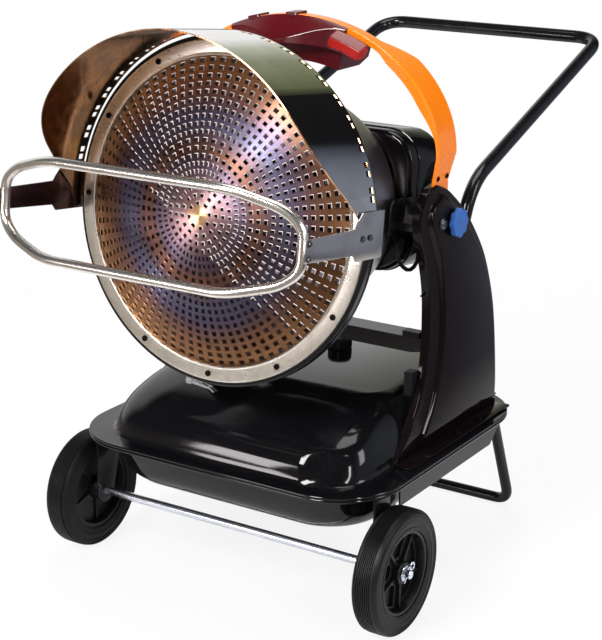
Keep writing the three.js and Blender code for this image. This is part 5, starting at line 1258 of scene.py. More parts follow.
@dataclass
class Wheel:
    """A moulded wheel with a ribbed rubber tyre, its washer and its ring pin.

    Each rib's section is given in shares of a groove's depth and of the ribs' pitch, and the
    side wall in shares of the radius and of half the width. The rim sits in the bead.
    """

    side: Side
    radius: float = AXLE_HEIGHT
    width: float = 44.0
    bead: float = 72.0
    outer_face: float = 338.0
    spokes: int = 5
    shoulder: float = 7.0
    ribs: int = 9
    groove: float = 2.0
    crown_drop: float = 1.4
    rib_shares: tuple = ((1, 0), (1, 0.26), (0, 0.36), (0, 0.9))
    wall_shares: tuple = ((0.99, 0.8), (0.965, 0.93), (0.955, 0.9), (0.93, 0.985), (0.92, 0.955),
                          (0.89, 1.0), (0.88, 0.965), (0.8, 1.0), (0.785, 0.96), (0.73, 0.95),
                          (0.72, 0.99))
    bead_share: float = 0.93
    rim_fit: float = 0.3
    rim_inset: float = 3.5
    bore: float = 8.0
    boss: float = 19.0
    window: float = 25.0
    window_margin: float = 13.0
    web: float = 4.0
    spoke_size: tuple = (5.0, 19.0)
    pin_out: float = 340.0
    pin_eye: float = 6.0
    pin_eye_up: float = 16.5
    pin_wire: float = 1.4

    def place(self) -> Matrix:
        """Gives the matrix that lays the wheel's own frame, its axis pointing outwards."""
        return self.side.place((self.outer_face - self.width / 2, AXLE_Y, self.radius))

    def tread(self) -> list:
        """The crowned tread with its ribs, as (radius, along the axle)."""
        half = self.width / 2
        pitch = (self.width - 2 * self.shoulder) / self.ribs
        points = []
        for i in range(self.ribs):
            start = -half + self.shoulder + i * pitch
            crown = self.radius - self.crown_drop * abs((start + pitch / 2) / half) ** 3
            points += [(crown - self.groove * deep, start + pitch * share)
                       for deep, share in self.rib_shares]
        return points

    def tyre(self) -> None:
        """Makes the rubber tyre with fine ribs on its tread and shoulders."""
        half = self.width / 2
        wall = [(self.radius * reach, half * out) for reach, out in self.wall_shares]
        wall.append((self.bead, half * self.bead_share))
        profile = [*[(r, -h) for r, h in reversed(wall)], *self.tread(), *wall]
        Form().turn(profile, 96).done(f"ribbed_tyre_{self.side.label}", f"wheel_{self.side.label}",
                                      "tyre_rubber", self.place(), [f"tyre_{self.side.label}"], sharp=28)

    def windows(self) -> list:
        """The outlines of the openings between the spokes."""
        rim = self.bead - self.rim_fit
        spread = 360 / self.spokes
        outlines = []
        for i in range(self.spokes):
            middle = 90 + i * spread
            outer, inner = spread * 0.33, spread * 0.26
            outlines.append([*arc((0, 0), rim - self.window_margin, middle - outer, middle + outer, 10),
                             *arc((0, 0), self.window, middle + inner, middle - inner, 5)])
        return outlines

    def hub(self) -> None:
        """Makes the moulded hub: rim, web with windows, spokes and boss."""
        rim = self.bead - self.rim_fit
        half = self.width / 2 - self.rim_inset
        form = Form().turn([(rim, -half), (rim, half), (rim - 2, half + 0.6), (rim - 5.5, half - 0.5),
                            (rim - 7, half - 4), (rim - 8.5, 5), (rim - 9, -5), (rim - 6, -half)],
                           WHEEL_ROUND)
        web = Form().plate(arc((0, 0), rim - 7, 0, 355, WHEEL_ROUND - 1), -self.web, self.web,
                           self.windows())
        form.with_part(web.soften(1.2, 2))
        back, start, end = -3.6, self.boss - 2, rim - 6
        form.with_part(Form().turn([(start, back), (end, back), (end, -2.2), (start, -2.2)], WHEEL_ROUND))
        broad, deep = self.spoke_size
        for i in range(self.spokes):
            rib = Form().block((rim - self.window, broad, deep), ((rim + 10) / 2, 0, 1)).soften(1.5, 2)
            turn = math.radians(90 + 360 / self.spokes * (i + 0.5))
            form.with_part(rib, Matrix.Rotation(turn, 4, "Z"))
        end = self.width / 2
        form.with_part(Form().turn([(self.bore, -end - 2), (self.boss - 1, -end - 2), (self.boss, -end),
                                    (self.boss, end - 6.5), (self.boss - 1.5, end - 5),
                                    (self.bore, end - 5)], SMALL_ROUND))
        form.done(f"spoked_hub_{self.side.label}", f"wheel_{self.side.label}", "black_plastic",
                  self.place(), [f"hub_{self.side.label}"])

    def washer(self) -> None:
        """Makes the plated washer outside the hub."""
        start = self.width / 2 - 4.7
        outer, end = self.bore + 5, start + 2.5
        profile = [(self.bore, start), (outer - 0.6, start), (outer, start + 0.5), (outer, end - 0.5),
                   (outer - 0.6, end), (self.bore, end)]
        Form().turn(profile, SMALL_ROUND).done(f"plated_washer_{self.side.label}", "stand", "zinc",
                                               self.place(), [f"axle_washer_{self.side.label}"])

    def pin(self) -> None:
        """Makes the ring pin through the axle's end."""
        tilt = Matrix.Rotation(math.pi / 5, 4, "X")
        place = STAND @ self.side.mirror() @ Matrix.Translation((self.pin_out, AXLE_Y, self.radius)) @ tilt
        ring = [Vector((0, self.pin_eye_up + self.pin_eye * math.cos(t), self.pin_eye * math.sin(t)))
                for t in turns(28)]
        form = Form().pipe(ring, self.pin_wire, 10, closed=True)
        legs = [Vector((0.2, y, z)) for y, z in ((11, 0), (4, 0.2), (-8, 0.2), (-12, -0.8), (-16.6, -1.5))]
        form.with_part(Form().pipe(legs, self.pin_wire - 0.05, 10))
        form.done(f"ring_pin_{self.side.label}", "stand", "zinc", place, [f"split_pin_{self.side.label}"])

    def build(self) -> None:
        """Makes every piece of the wheel."""
        self.tyre()
        self.hub()
        self.washer()
        self.pin()


@dataclass
class Undercarriage:
    """The axle, the two plates that hang it and both wheels.

    A plate narrows from its ends at the top to a round eye about the axle.
    """

    length: float = 692.0
    radius: float = 7.5
    plate_in: float = 284.0
    sheet: float = 4.0
    plate_top: float = 232.4
    plate_ends: tuple = (-234.0, -168.0)
    plate_drop: float = 36.0
    eye: float = 22.0

    def axle(self) -> None:
        """Makes the plated axle with chamfered ends."""
        half = self.length / 2
        r = self.radius
        profile = [(0, -half), (r - 1, -half), (r, -half + 1), (r, half - 1), (r - 1, half), (0, half)]
        place = STAND @ Matrix.Translation((0, AXLE_Y, AXLE_HEIGHT)) @ ALONG_X
        Form().turn(profile, SLIM_ROUND, closed=False).done("plated_axle", "stand", "zinc", place, ["axle"])

    def bracket(self, side: Side) -> None:
        """Makes one pressed plate that hangs the axle.

        Args:
            side: Which side it is on.
        """
        top = self.plate_top
        front, rear = self.plate_ends
        outline = [(rear, top), (front, top), *arc((AXLE_Y, AXLE_HEIGHT), self.eye, 170, 350, 16),
                   (rear, top - self.plate_drop)]
        face = self.plate_in + self.sheet
        form = Form().plate(outline, self.plate_in, face).soften(0.8, 2)
        collar = [(8.2, face - 1), (14, face - 1), (14, face + 1.4), (12.5, face + 2.4), (8.2, face + 2.4)]
        form.with_part(Form().turn(collar, SLIM_ROUND), Matrix.Translation((AXLE_Y, AXLE_HEIGHT, 0)))
        form.done(f"pressed_bracket_{side.label}", "stand", "black_satin", side.place(),
                  [f"axle_bracket_{side.label}"])

    def build(self) -> None:
        """Makes the undercarriage and both wheels."""
        self.axle()
        for side in Side:
            self.bracket(side)
            Wheel(side).build()


# Tank


@dataclass
class Tank:
    """The two pressed shells of the fuel tank, with filler and cap.

    The flange's rim gives margins from its edge and shares of its thickness. The fillet gives
    lift, side inset, end inset and corner radius. The dome's shares give its rise and how far
    its sides, front and rear are drawn in, and the pan's shares its depth and draw. The dent
    is the shallow recess in the front right shoulder, ahead of shoulder_y.
    """

    half_width: float = 307.0
    front: float = -304.0
    rear: float = 288.0
    top: float = 243.0
    rise: float = 98.0
    sheet: float = 5.0
    seam: float = 5.3
    flange_corner: float = 118.0
    rim_rounds: tuple = ((12, 0), (1.2, 0), (0.3, 0.25), (0, 0.5), (0.3, 0.8), (1.2, 1), (4, 1))
    fillet: tuple = ((0, 40, 22, 98), (0.6, 47, 27.5, 94), (3, 49.6, 29.6, 92))
    corner: float = 92.0
    dome_start: float = 2.0
    dome_insets: tuple = (50.0, 30.0)
    dome_draws: tuple = (54.0, 176.0, 62.0)
    shares: tuple = ((0, 0, 0, 0), (0.14, 0.03, 0.015, 0.04), (0.34, 0.12, 0.06, 0.13),
                     (0.55, 0.27, 0.17, 0.3), (0.74, 0.47, 0.37, 0.5), (0.88, 0.7, 0.62, 0.72),
                     (0.965, 0.88, 0.84, 0.88), (1, 1, 1, 1))
    pan_depth: float = 81.5
    pan_inset: float = 38.0
    pan_draw: float = 40.0
    pan_shares: tuple = ((0, 0), (0.35, 0.1), (0.7, 0.34), (0.92, 0.7), (1, 1))
    dent_centre: float = 204.0
    dent_half: float = 39.0
    dent_depth: float = 7.0
    dent_peak: float = 1.35
    dent_fall: float = 1.2
    dent_top: float = 291.0
    dent_fade: float = 6.0
    shoulder_y: float = -200.0
    filler_place: tuple = (10.0, 106.0)
    cap_radius: float = 22.0

    def ring(self, height: float, side: float, front: float, rear: float, corner: float) -> list:
        """One level outline of the tank.

        Args:
            height: Its height.
            side: Inset from the sides.
            front: Inset from the front.
            rear: Inset from the rear.
            corner: Corner radius.

        Returns:
            Its points.
        """
        outline = rounded_box(-self.half_width + side, self.half_width - side, self.front + front,
                              self.rear - rear, corner, 14)
        return [(x, y, height) for x, y in outline]

    def flange(self, top: float) -> list:
        """The rounded rim of a flange, from its underside to its top.

        Args:
            top: Height of its top.

        Returns:
            The outlines.
        """
        return [self.ring(top - self.sheet + self.sheet * lift, margin, margin, margin,
                          self.flange_corner - margin) for margin, lift in self.rim_rounds]

    def dented(self, section: list) -> list:
        """Presses the shallow recess into the front right shoulder of one outline.

        Args:
            section: The outline's points.

        Returns:
            The pressed outline.
        """
        pressed = []
        for x, y, z in section:
            across = clamped(self.dent_peak - abs(x - self.dent_centre) / self.dent_half * self.dent_fall)
            soft = smooth(across) * clamped((self.dent_top - z) / self.dent_fade)
            pressed.append((x, y + (self.dent_depth * soft if y < self.shoulder_y else 0), z))
        return pressed

    def upper(self) -> None:
        """Makes the upper shell: flange, fillet and swelling dome."""
        sections = self.flange(self.top)
        sections += [self.ring(self.top + lift, side, end, end, corner)
                     for lift, side, end, corner in self.fillet]
        side_in, end_in = self.dome_insets
        side_draw, front_draw, rear_draw = self.dome_draws
        for lift, side, front, rear in flowing(self.shares, 4)[3:]:
            height = self.top + self.dome_start + (self.rise - self.dome_start) * lift
            outline = self.ring(height, side_in + side_draw * side, end_in + front_draw * front,
                                end_in + rear_draw * rear, self.corner)
            sections.append(self.dented(outline))
        Form().loft(sections).done("pressed_tank_top", "stand", "black_gloss", STAND, ["tank_upper"],
                                   sharp=40)

    def lower(self) -> None:
        """Makes the lower pan under its own flange."""
        top = self.top - self.seam
        sections = []
        for drop, step in reversed(flowing(self.pan_shares, 5)):
            margin = self.pan_inset + self.pan_draw * step
            sections.append(self.ring(top - self.sheet - self.pan_depth * drop, margin, margin, margin,
                                      self.corner))
        sections += self.flange(top)
        Form().loft(sections).done("pressed_tank_pan", "stand", "black_gloss", STAND, ["tank_lower"],
                                   sharp=40)

    def filler(self) -> None:
        """Makes the neck and the ribbed cap."""
        spot = STAND @ Matrix.Translation((*self.filler_place, 0))
        base = self.top + self.rise
        neck = [(13, base), (17, base), (17, base + 14), (16.4, base + 15), (13, base + 15)]
        Form().turn(neck, SMALL_ROUND).done("rolled_neck", "stand", "black_satin", spot, ["filler_neck"])
        form = Form().plate(lobes(self.cap_radius, 1.3, 24, 6), base + 1.2, base + 18).soften(0.5, 1, 50)
        crown = [(0, base + 10), (20.4, base + 10), (20.8, base + 19.5), (19, base + 22.4),
                 (12, base + 22.6), (11, base + 21.4), (0, base + 21.4)]
        form.with_part(Form().turn(crown, 48, closed=False))
        form.done("ribbed_cap", "cap", "black_plastic", spot, ["fuel_cap"])

    def build(self) -> None:
        """Makes every piece of the tank."""
        self.upper()
        self.lower()
        self.filler()


# Arms, arch and console


@dataclass
class SideArm:
    """One pressed steel side arm with a raised panel and a bolted foot.

    The sections of border and panel give margins from an outline and distances from the
    middle of the heater. The edges are shares of the foot's length and of the arm's height.
    The foot's ends are its inner edge, the start of its bevel and its outer edge.
    """

    side: Side
    front: float = -132.0
    length: float = 369.0
    bottom: float = 243.3
    height: float = 454.0
    inner: float = 246.0
    margin: float = 13.0
    floor_gap: float = 4.0
    edge_steps: int = 4
    border_section: tuple = ((0, 246), (0, 257.5), (0.5, 259.8), (1.8, 261.5), (4, 262))
    panel_section: tuple = ((-1.5, 262), (0.4, 262.7), (2, 264.6), (4, 267.6), (6, 269.4), (8.5, 270))
    sheet: float = 3.0
    foot_sheet: float = 4.0
    foot_ends: tuple = (258.0, 292.0, 294.0)
    bolt: tuple = (6.0, 4.5)
    bolt_shares: tuple = (0.09, 0.5, 0.72)
    bolt_out: float = 282.0
    tab: tuple = (24.0, 3.0, 4.0)
    tab_place: tuple = (-17.6, 512.0, 250.0)
    boss_radii: tuple = (8.3, 27.0)
    rear_shares: tuple = ((1, 0), (1, 0.13), (0.965, 0.36), (0.92, 0.5), (0.845, 0.64), (0.755, 0.745),
                          (0.63, 0.858), (0.52, 0.93), (0.44, 0.972), (0.357, 0.998))
    front_shares: tuple = ((0.357, 0.998), (0.275, 0.982), (0.215, 0.925), (0.2, 0.865), (0.225, 0.795),
                           (0.268, 0.71), (0.3, 0.6), (0.307, 0.48), (0.3, 0.37), (0.262, 0.25),
                           (0.16, 0.115), (0, 0))
    panel_shares: tuple = ((0.36, 0.955), (0.29, 0.93), (0.26, 0.875), (0.3, 0.8), (0.352, 0.71),
                           (0.385, 0.6), (0.4, 0.46), (0.385, 0.34), (0.33, 0.18), (0.215, 0.035))

    def edge(self, shares: Sequence[tuple], steps: int) -> list:
        """One smooth edge in the arm's side view.

        Args:
            shares: Shares along and up the arm.
            steps: Points between each pair.

        Returns:
            The edge's points.
        """
        return flowing([(self.front + self.length * along, self.bottom + self.height * up)
                        for along, up in shares], steps)

    def outline(self) -> list:
        """The arm's outline in its side view."""
        return [*self.edge(self.rear_shares, self.edge_steps), *self.edge(self.front_shares, 5)[1:]]

    def panel(self, outline: list) -> list:
        """The raised panel's outline.

        Args:
            outline: The arm's outline.

        Returns:
            The panel's points.
        """
        front = self.edge(self.panel_shares, 4)
        floor = front[-1][1]
        count = (len(self.rear_shares) - 1) * self.edge_steps
        rear = [(y, z) for y, z in inset(outline, self.margin)[:count] if z > floor + self.floor_gap]
        return [(rear[0][0], floor), *rear, *front]

    @staticmethod
    def pressed(form: Form, outline: list, section: Sequence[tuple]) -> list:
        """Draws an outline once for each step of a pressed section.

        Args:
            form: The form to draw in.
            outline: The outline.
            section: Margins from the outline, and distances from the middle.

        Returns:
            The rings of edges.
        """
        return [form.draw([(y, z, out) for y, z in inset(outline, margin)]) for margin, out in section]

    def shell(self) -> Form:
        """Presses the arm: rolled border, face, raised panel and flanged rim."""
        outline = self.outline()
        panel = self.panel(outline)
        form = Form()
        rim = self.pressed(form, outline, self.border_section)
        raised = self.pressed(form, panel, self.panel_section)
        form.bridge(rim)
        form.bridge(raised)
        bmesh.ops.triangle_fill(form.bm, edges=[*rim[-1], *raised[0]], use_beauty=True)
        form.cap(raised[-1])
        form.outward()
        normal = sum((f.normal * f.calc_area() for f in form.bm.faces), Vector())
        if normal.z < 0:
            bmesh.ops.reverse_faces(form.bm, faces=form.bm.faces)
        bmesh.ops.solidify(form.bm, geom=form.bm.faces, thickness=self.sheet)
        return form

    def foot(self) -> Form:
        """The foot's flat plate, drawn from above and laid in the arm's side view."""
        start, end = self.front + 3, self.front + self.length - 3
        inner, bevel, outer = self.foot_ends
        outline = [(start, inner), (end, inner), (end, bevel), (end - 2, outer), (start + 2, outer),
                   (start, bevel)]
        from_above = Matrix(((1, 0, 0, 0), (0, 0, 1, 0), (0, 1, 0, 0), (0, 0, 0, 1)))
        plate = Form().plate(outline, self.bottom, self.bottom + self.foot_sheet).soften(1.0, 2)
        return Form().with_part(plate, from_above)

    def build(self) -> None:
        """Makes the arm with its foot, bolts, tab and pivot boss."""
        form = self.shell()
        form.with_part(self.foot())
        for share in self.bolt_shares:
            spot = (self.front + self.length * share, self.bottom + self.foot_sheet, self.bolt_out)
            bolt = bolt_head(*self.bolt, Fastener.HEXAGON)
            form.with_part(bolt, Matrix.Translation(spot) @ Matrix.Rotation(-math.pi / 2, 4, "X"))
        form.with_part(Form().block(self.tab, self.tab_place).soften(0.5, 1))
        bore, boss = self.boss_radii
        face = self.border_section[-1][1]
        form.with_part(Form().turn([(bore, self.inner), (boss, self.inner), (boss, face), (bore, face)],
                                   SMALL_ROUND), Matrix.Translation((0, PIVOT_HEIGHT, 0)))
        form.done(f"pressed_arm_{self.side.label}", "stand", "arm_black", self.side.place(),
                  [f"side_arm_{self.side.label}"], sharp=30)


@dataclass
class Arch:
    """The orange arch: half an ellipse on leaning legs, with a lip along its front edge.

    Attributes:
        half_width: Half its width where it is widest.
        rise: Height of the ellipse.
        centre: Height of the ellipse's middle.
        front: Where its front edge stands along Y.
        width: Width of the band on the shoulders.
        crown_width: Width of the band over the crown.
        crown_half: How far the narrow crown reaches to each side.
        wing_half: Where the band has its full width.
        lip: Depth of the lip on the shoulders.
        lip_start: Degrees over which the lip grows, from the arch's ends.
        lip_fade: Degrees over which it loses half its depth, towards the crown.
        leg_bend: Height at which the legs turn upright.
        leg_bottom: Height of the legs' ends.
        foot_x: Outer face of the legs' ends.
        setback: How far the feet's front edge stands back.
        sheet: Thickness of the sheet.
        steps: Runs over the ellipse.
        screw: Radius and height of a screw's head.
        screw_sunk: How deep the heads are sunk.
        screw_height: Height of the screws on the legs.
        screw_rows: Where the screws stand along Y.
    """

    half_width: float = 272.0
    rise: float = 212.0
    centre: float = 745.0
    front: float = -24.0
    width: float = 66.0
    crown_width: float = 26.0
    crown_half: float = 150.0
    wing_half: float = 196.0
    lip: float = 16.0
    lip_start: tuple = (4, 26)
    lip_fade: tuple = (46, 54)
    leg_bend: float = 697.0
    leg_bottom: float = 664.0
    foot_x: float = 257.7
    setback: float = 12.0
    sheet: float = 3.0
    steps: int = 120
    screw: tuple = (4.5, 2.6)
    screw_sunk: float = 0.6
    screw_height: float = 706.0
    screw_rows: tuple = (0, 30)

    def least_lip(self) -> float:
        """Depth of the lip where the band has none to show."""
        return self.sheet + 0.3

    def lip_at(self, degrees: float) -> float:
        """Depth of the lip at an angle.

        Args:
            degrees: Angle from the right.

        Returns:
            The depth, at least the sheet's own.
        """
        side = min(degrees, 180 - degrees)
        grown = (self.lip - self.sheet) * eased(side, *self.lip_start)
        return self.least_lip() + grown * (1 - eased(side, *self.lip_fade) / 2)

    def section(self, y0: float, y1: float, lip: float) -> list:
        """The band's section: a rounded strip with a lip turned in at its front.

        Args:
            y0: Front edge.
            y1: Rear edge.
            lip: Depth of the lip.

        Returns:
            Points of (inset from the outer face, along Y).
        """
        s = self.sheet
        return [(1.3, y0), (0.4, y0 + 0.5), (0, y0 + 1.6), (0, y0 + 9), (0.5, y0 + 10.5), (0.5, y1 - 2),
                (0.9, y1 - 0.5), (1.8, y1), (s, y1 - 0.3), (s, y0 + s), (lip, y0 + s), (lip, y0)]

    def row(self, degrees: float) -> list:
        """The band's section at one angle of the ellipse.

        Args:
            degrees: Angle from the right.

        Returns:
            Its points.
        """
        t = math.radians(degrees)
        out = abs(self.half_width * math.cos(t))
        broad = clamped((out - self.crown_half) / (self.wing_half - self.crown_half))
        rear = self.front + self.crown_width + (self.width - self.crown_width) * broad
        return [((self.half_width - d) * math.cos(t), y, self.centre + (self.rise - d) * math.sin(t))
                for d, y in self.section(self.front, rear, self.lip_at(degrees))]

    def band(self) -> Form:
        """Sweeps the section from one leg over the crown to the other."""
        low = self.section(self.front + self.setback, self.front + self.width, self.least_lip())
        heights = (self.leg_bottom, self.leg_bend)
        rows = [[(self.foot_x - d, y, z) for d, y in low] for z in heights]
        rows += [self.row(180 * i / self.steps) for i in range(self.steps + 1)]
        rows += [[(d - self.foot_x, y, z) for d, y in low] for z in reversed(heights)]
        return Form().loft(rows)

    def build(self) -> None:
        """Makes the arch and its four dark screws."""
        self.band().done("lipped_arch", "stand", "orange_paint", STAND, ["arch"], sharp=25)
        screws = Form()
        lean = math.atan2(self.half_width - self.foot_x, self.centre - self.leg_bend)
        out = self.foot_x + (self.screw_height - self.leg_bend) * math.tan(lean)
        for side in Side:
            for y in self.screw_rows:
                seat = Matrix.Translation((out - self.screw_sunk, y, self.screw_height))
                place = side.mirror() @ seat @ Matrix.Rotation(lean, 4, "Y") @ ALONG_X
                screws.with_part(bolt_head(*self.screw), place)
        screws.done("arch_screws", "stand", "dark_steel", STAND)


@dataclass
class Console:
    """The control box that straddles the arch's crown.

    Attributes:
        top: Height of the arch's crown.
        curve: Radius of the crown's own curve.
        left: Left end of the box.
        right: Right end of the box.
        cap_end: Right end of the bright cap.
        edge: Depth of the hood at its ends.
        bow: How much deeper it is in the middle.
        bow_share: Share of the way across that the bow follows.
        chin: How far the hood's front reaches below the crown.
        back: The hood's rear edge along Y.
        slope: Fall of the hood's upper face for each length forward.
        strap: A strap's section: drop below the crown, and place along Y.
        strap_half: Half a strap's width.
        straps: The middles of the straps, across the crown.
        wedge: The end cap's section, in the strap's terms.
        cap_overlap: How far the cap reaches in under the hood.
        lit_least: Least upward share of a face's normal that has the deeper red, a painted shade.
    """

    top: float = 957.0
    curve: float = 272.0 ** 2 / 212.0
    left: float = -130.0
    right: float = 100.0
    cap_end: float = 153.0
    edge: float = 5.0
    bow: float = 33.0
    bow_share: float = 0.94
    chin: float = 44.0
    back: float = -24.3
    slope: float = 39 / 42
    strap: tuple = ((6, -27.3), (-3.1, -27.3), (-3.3, -26.6), (-3.3, 4.6), (-2.6, 5.3), (23.7, 5.3),
                    (23.7, 2.3), (-0.3, 2.3), (-0.3, -24.3), (6, -24.3))
    strap_half: float = 10.5
    straps: tuple = (-84.0, -8.0)
    wedge: tuple = ((6, -35), (17, -52.3), (33, -52.3), (33, -24.3), (19, -24.3))
    cap_overlap: float = 14.0
    lit_least: float = 0.3

    def swept(self, profile: Callable[[float], Sequence], start: float, end: float, steps: int) -> Form:
        """Sweeps a profile of (drop below the crown, along Y) along the crown.

        Args:
            profile: Gives the profile at a place across the crown.
            start: First place across the crown.
            end: Last place across the crown.
            steps: Runs between them.

        Returns:
            The closed form.
        """
        low, high = math.acos(start / self.curve), math.acos(end / self.curve)
        rows = []
        for i in range(steps + 1):
            t = low + (high - low) * i / steps
            rows.append([((self.curve - drop) * math.cos(t), y,
                          self.top - self.curve + (self.curve - drop) * math.sin(t))
                         for drop, y in profile(self.curve * math.cos(t))])
        return Form().loft(rows)

    def hood_profile(self, x: float) -> list:
        """The hood's section: deep in the middle, shallow at the ends.

        Args:
            x: Place across the crown.

        Returns:
            Points of (drop, along Y).
        """
        back, slope, chin = self.back, self.slope, self.chin
        middle, whole = (self.left + self.right) / 2, self.right - self.left
        share = min(abs((self.bow_share * x - middle) / whole * 2), 1)
        deep = self.edge + self.bow * math.cos(share * math.pi / 2) ** 2
        front = back - deep
        return [(0.4, back), (slope * 1.2 + 0.3, back - 1.2),
                *[(slope * deep * k, back - deep * k) for k in (0.4, 0.6, 0.8)],
                (slope * (deep - 1.4) + 0.1, front + 1.2), (slope * deep + 0.9, front + 0.3),
                (slope * deep + 2.4, front), (chin - 1.6, front + 0.2), (chin, front + 1.8), (chin, back)]

    def hood(self) -> None:
        """Makes the hood with its two straps."""
        form = self.swept(self.hood_profile, self.right, self.left, 60).soften(0.5, 2, 60)
        for middle in self.straps:
            strap = self.swept(lambda x: self.strap, middle + self.strap_half, middle - self.strap_half, 6)
            form.with_part(strap.soften(0.4, 2, 50))
        form.done("moulded_hood", "stand", "maroon_plastic", STAND, ["console_hood"], sharp=30)

    def end_cap(self) -> None:
        """Makes the bright end cap, with a painted shade in a deeper red on its upward faces."""
        cap = self.swept(lambda x: self.wedge, self.cap_end - 6, self.right - self.cap_overlap, 12)
        cap.soften(1.6, 3, 35).outward()
        for face in cap.bm.faces:
            # Upward faces get the deeper red as painted shade.
            face.material_index = int(face.normal.z > self.lit_least)
        cap.done("bright_end_cap", "stand", "red_plastic", STAND, ["console_end_cap"], sharp=30,
                 lining="dark_red")

    def build(self) -> None:
        """Makes the hood and the end cap."""
        self.hood()
        self.end_cap()


@dataclass
class Handles:
    """The push handle and the rear foot, bent from tube and given by their right halves."""

    handle: tuple = ((245.7, 92, 540), (245.7, 150, 668), (239, 685, 848))
    handle_radius: float = 12.0
    handle_bend: float = 52.0
    foot: tuple = ((240, 236, 222), (240, 266, 222), (250, 337, 10))
    foot_radius: float = 10.0
    foot_bend: float = 30.0

    def build(self) -> None:
        """Bends both tubes."""
        handle = bent(mirrored_run(self.handle), self.handle_bend, 14)
        Form().pipe(handle, self.handle_radius, 28).done("bent_handle", "stand", "black_satin", STAND,
                                                         ["push_handle"])
        foot = bent(mirrored_run(self.foot), self.foot_bend, 12)
        Form().pipe(foot, self.foot_radius, 24).done("bent_foot", "stand", "black_satin", STAND,
                                                     ["rear_foot"])


@dataclass
class Clamp:
    """The pivot nuts and the blue clamp knob, as sections of (radius, distance out)."""

    stud: tuple = (39.7, 627.1)
    knob_radius: float = 25.0
    knob_ends: tuple = (274.6, 285.6)
    collar: tuple = ((5.3, 270.6), (12, 270.6), (12.5, 271.2), (13.4, 275.6), (5.3, 275.6))
    button: tuple = ((0, 284.4), (15, 284.4), (14.4, 285.5), (12, 285.6), (11, 284.9), (0, 284.9))
    nut: tuple = ((0, 219), (8, 219), (8, 270.3), (10.4, 270.3), (10.4, 272.2), (8.6, 272.5),
                  (8.2, 274.2), (7, 275.8), (4.6, 276.7), (2, 277), (0, 277))

    def build(self) -> None:
        """Makes the knob and both nuts."""
        form = Form().plate(lobes(self.knob_radius, 3, 8, 8), *self.knob_ends).soften(1.8, 4, 40)
        form.with_part(Form().turn(self.collar, SMALL_ROUND))
        form.with_part(Form().turn(self.button, SMALL_ROUND, closed=False))
        form.done("lobed_knob", "knob", "blue_plastic", Side.RIGHT.place((0, *self.stud)), ["tilt_knob"],
                  sharp=40)
        for side in Side:
            Form().turn(self.nut, SLIM_ROUND, closed=False).done(
                f"dome_nut_{side.label}", "stand", "nut_steel", side.place((0, 0, PIVOT_HEIGHT)),
                [f"pivot_bolt_{side.label}"])


# Head


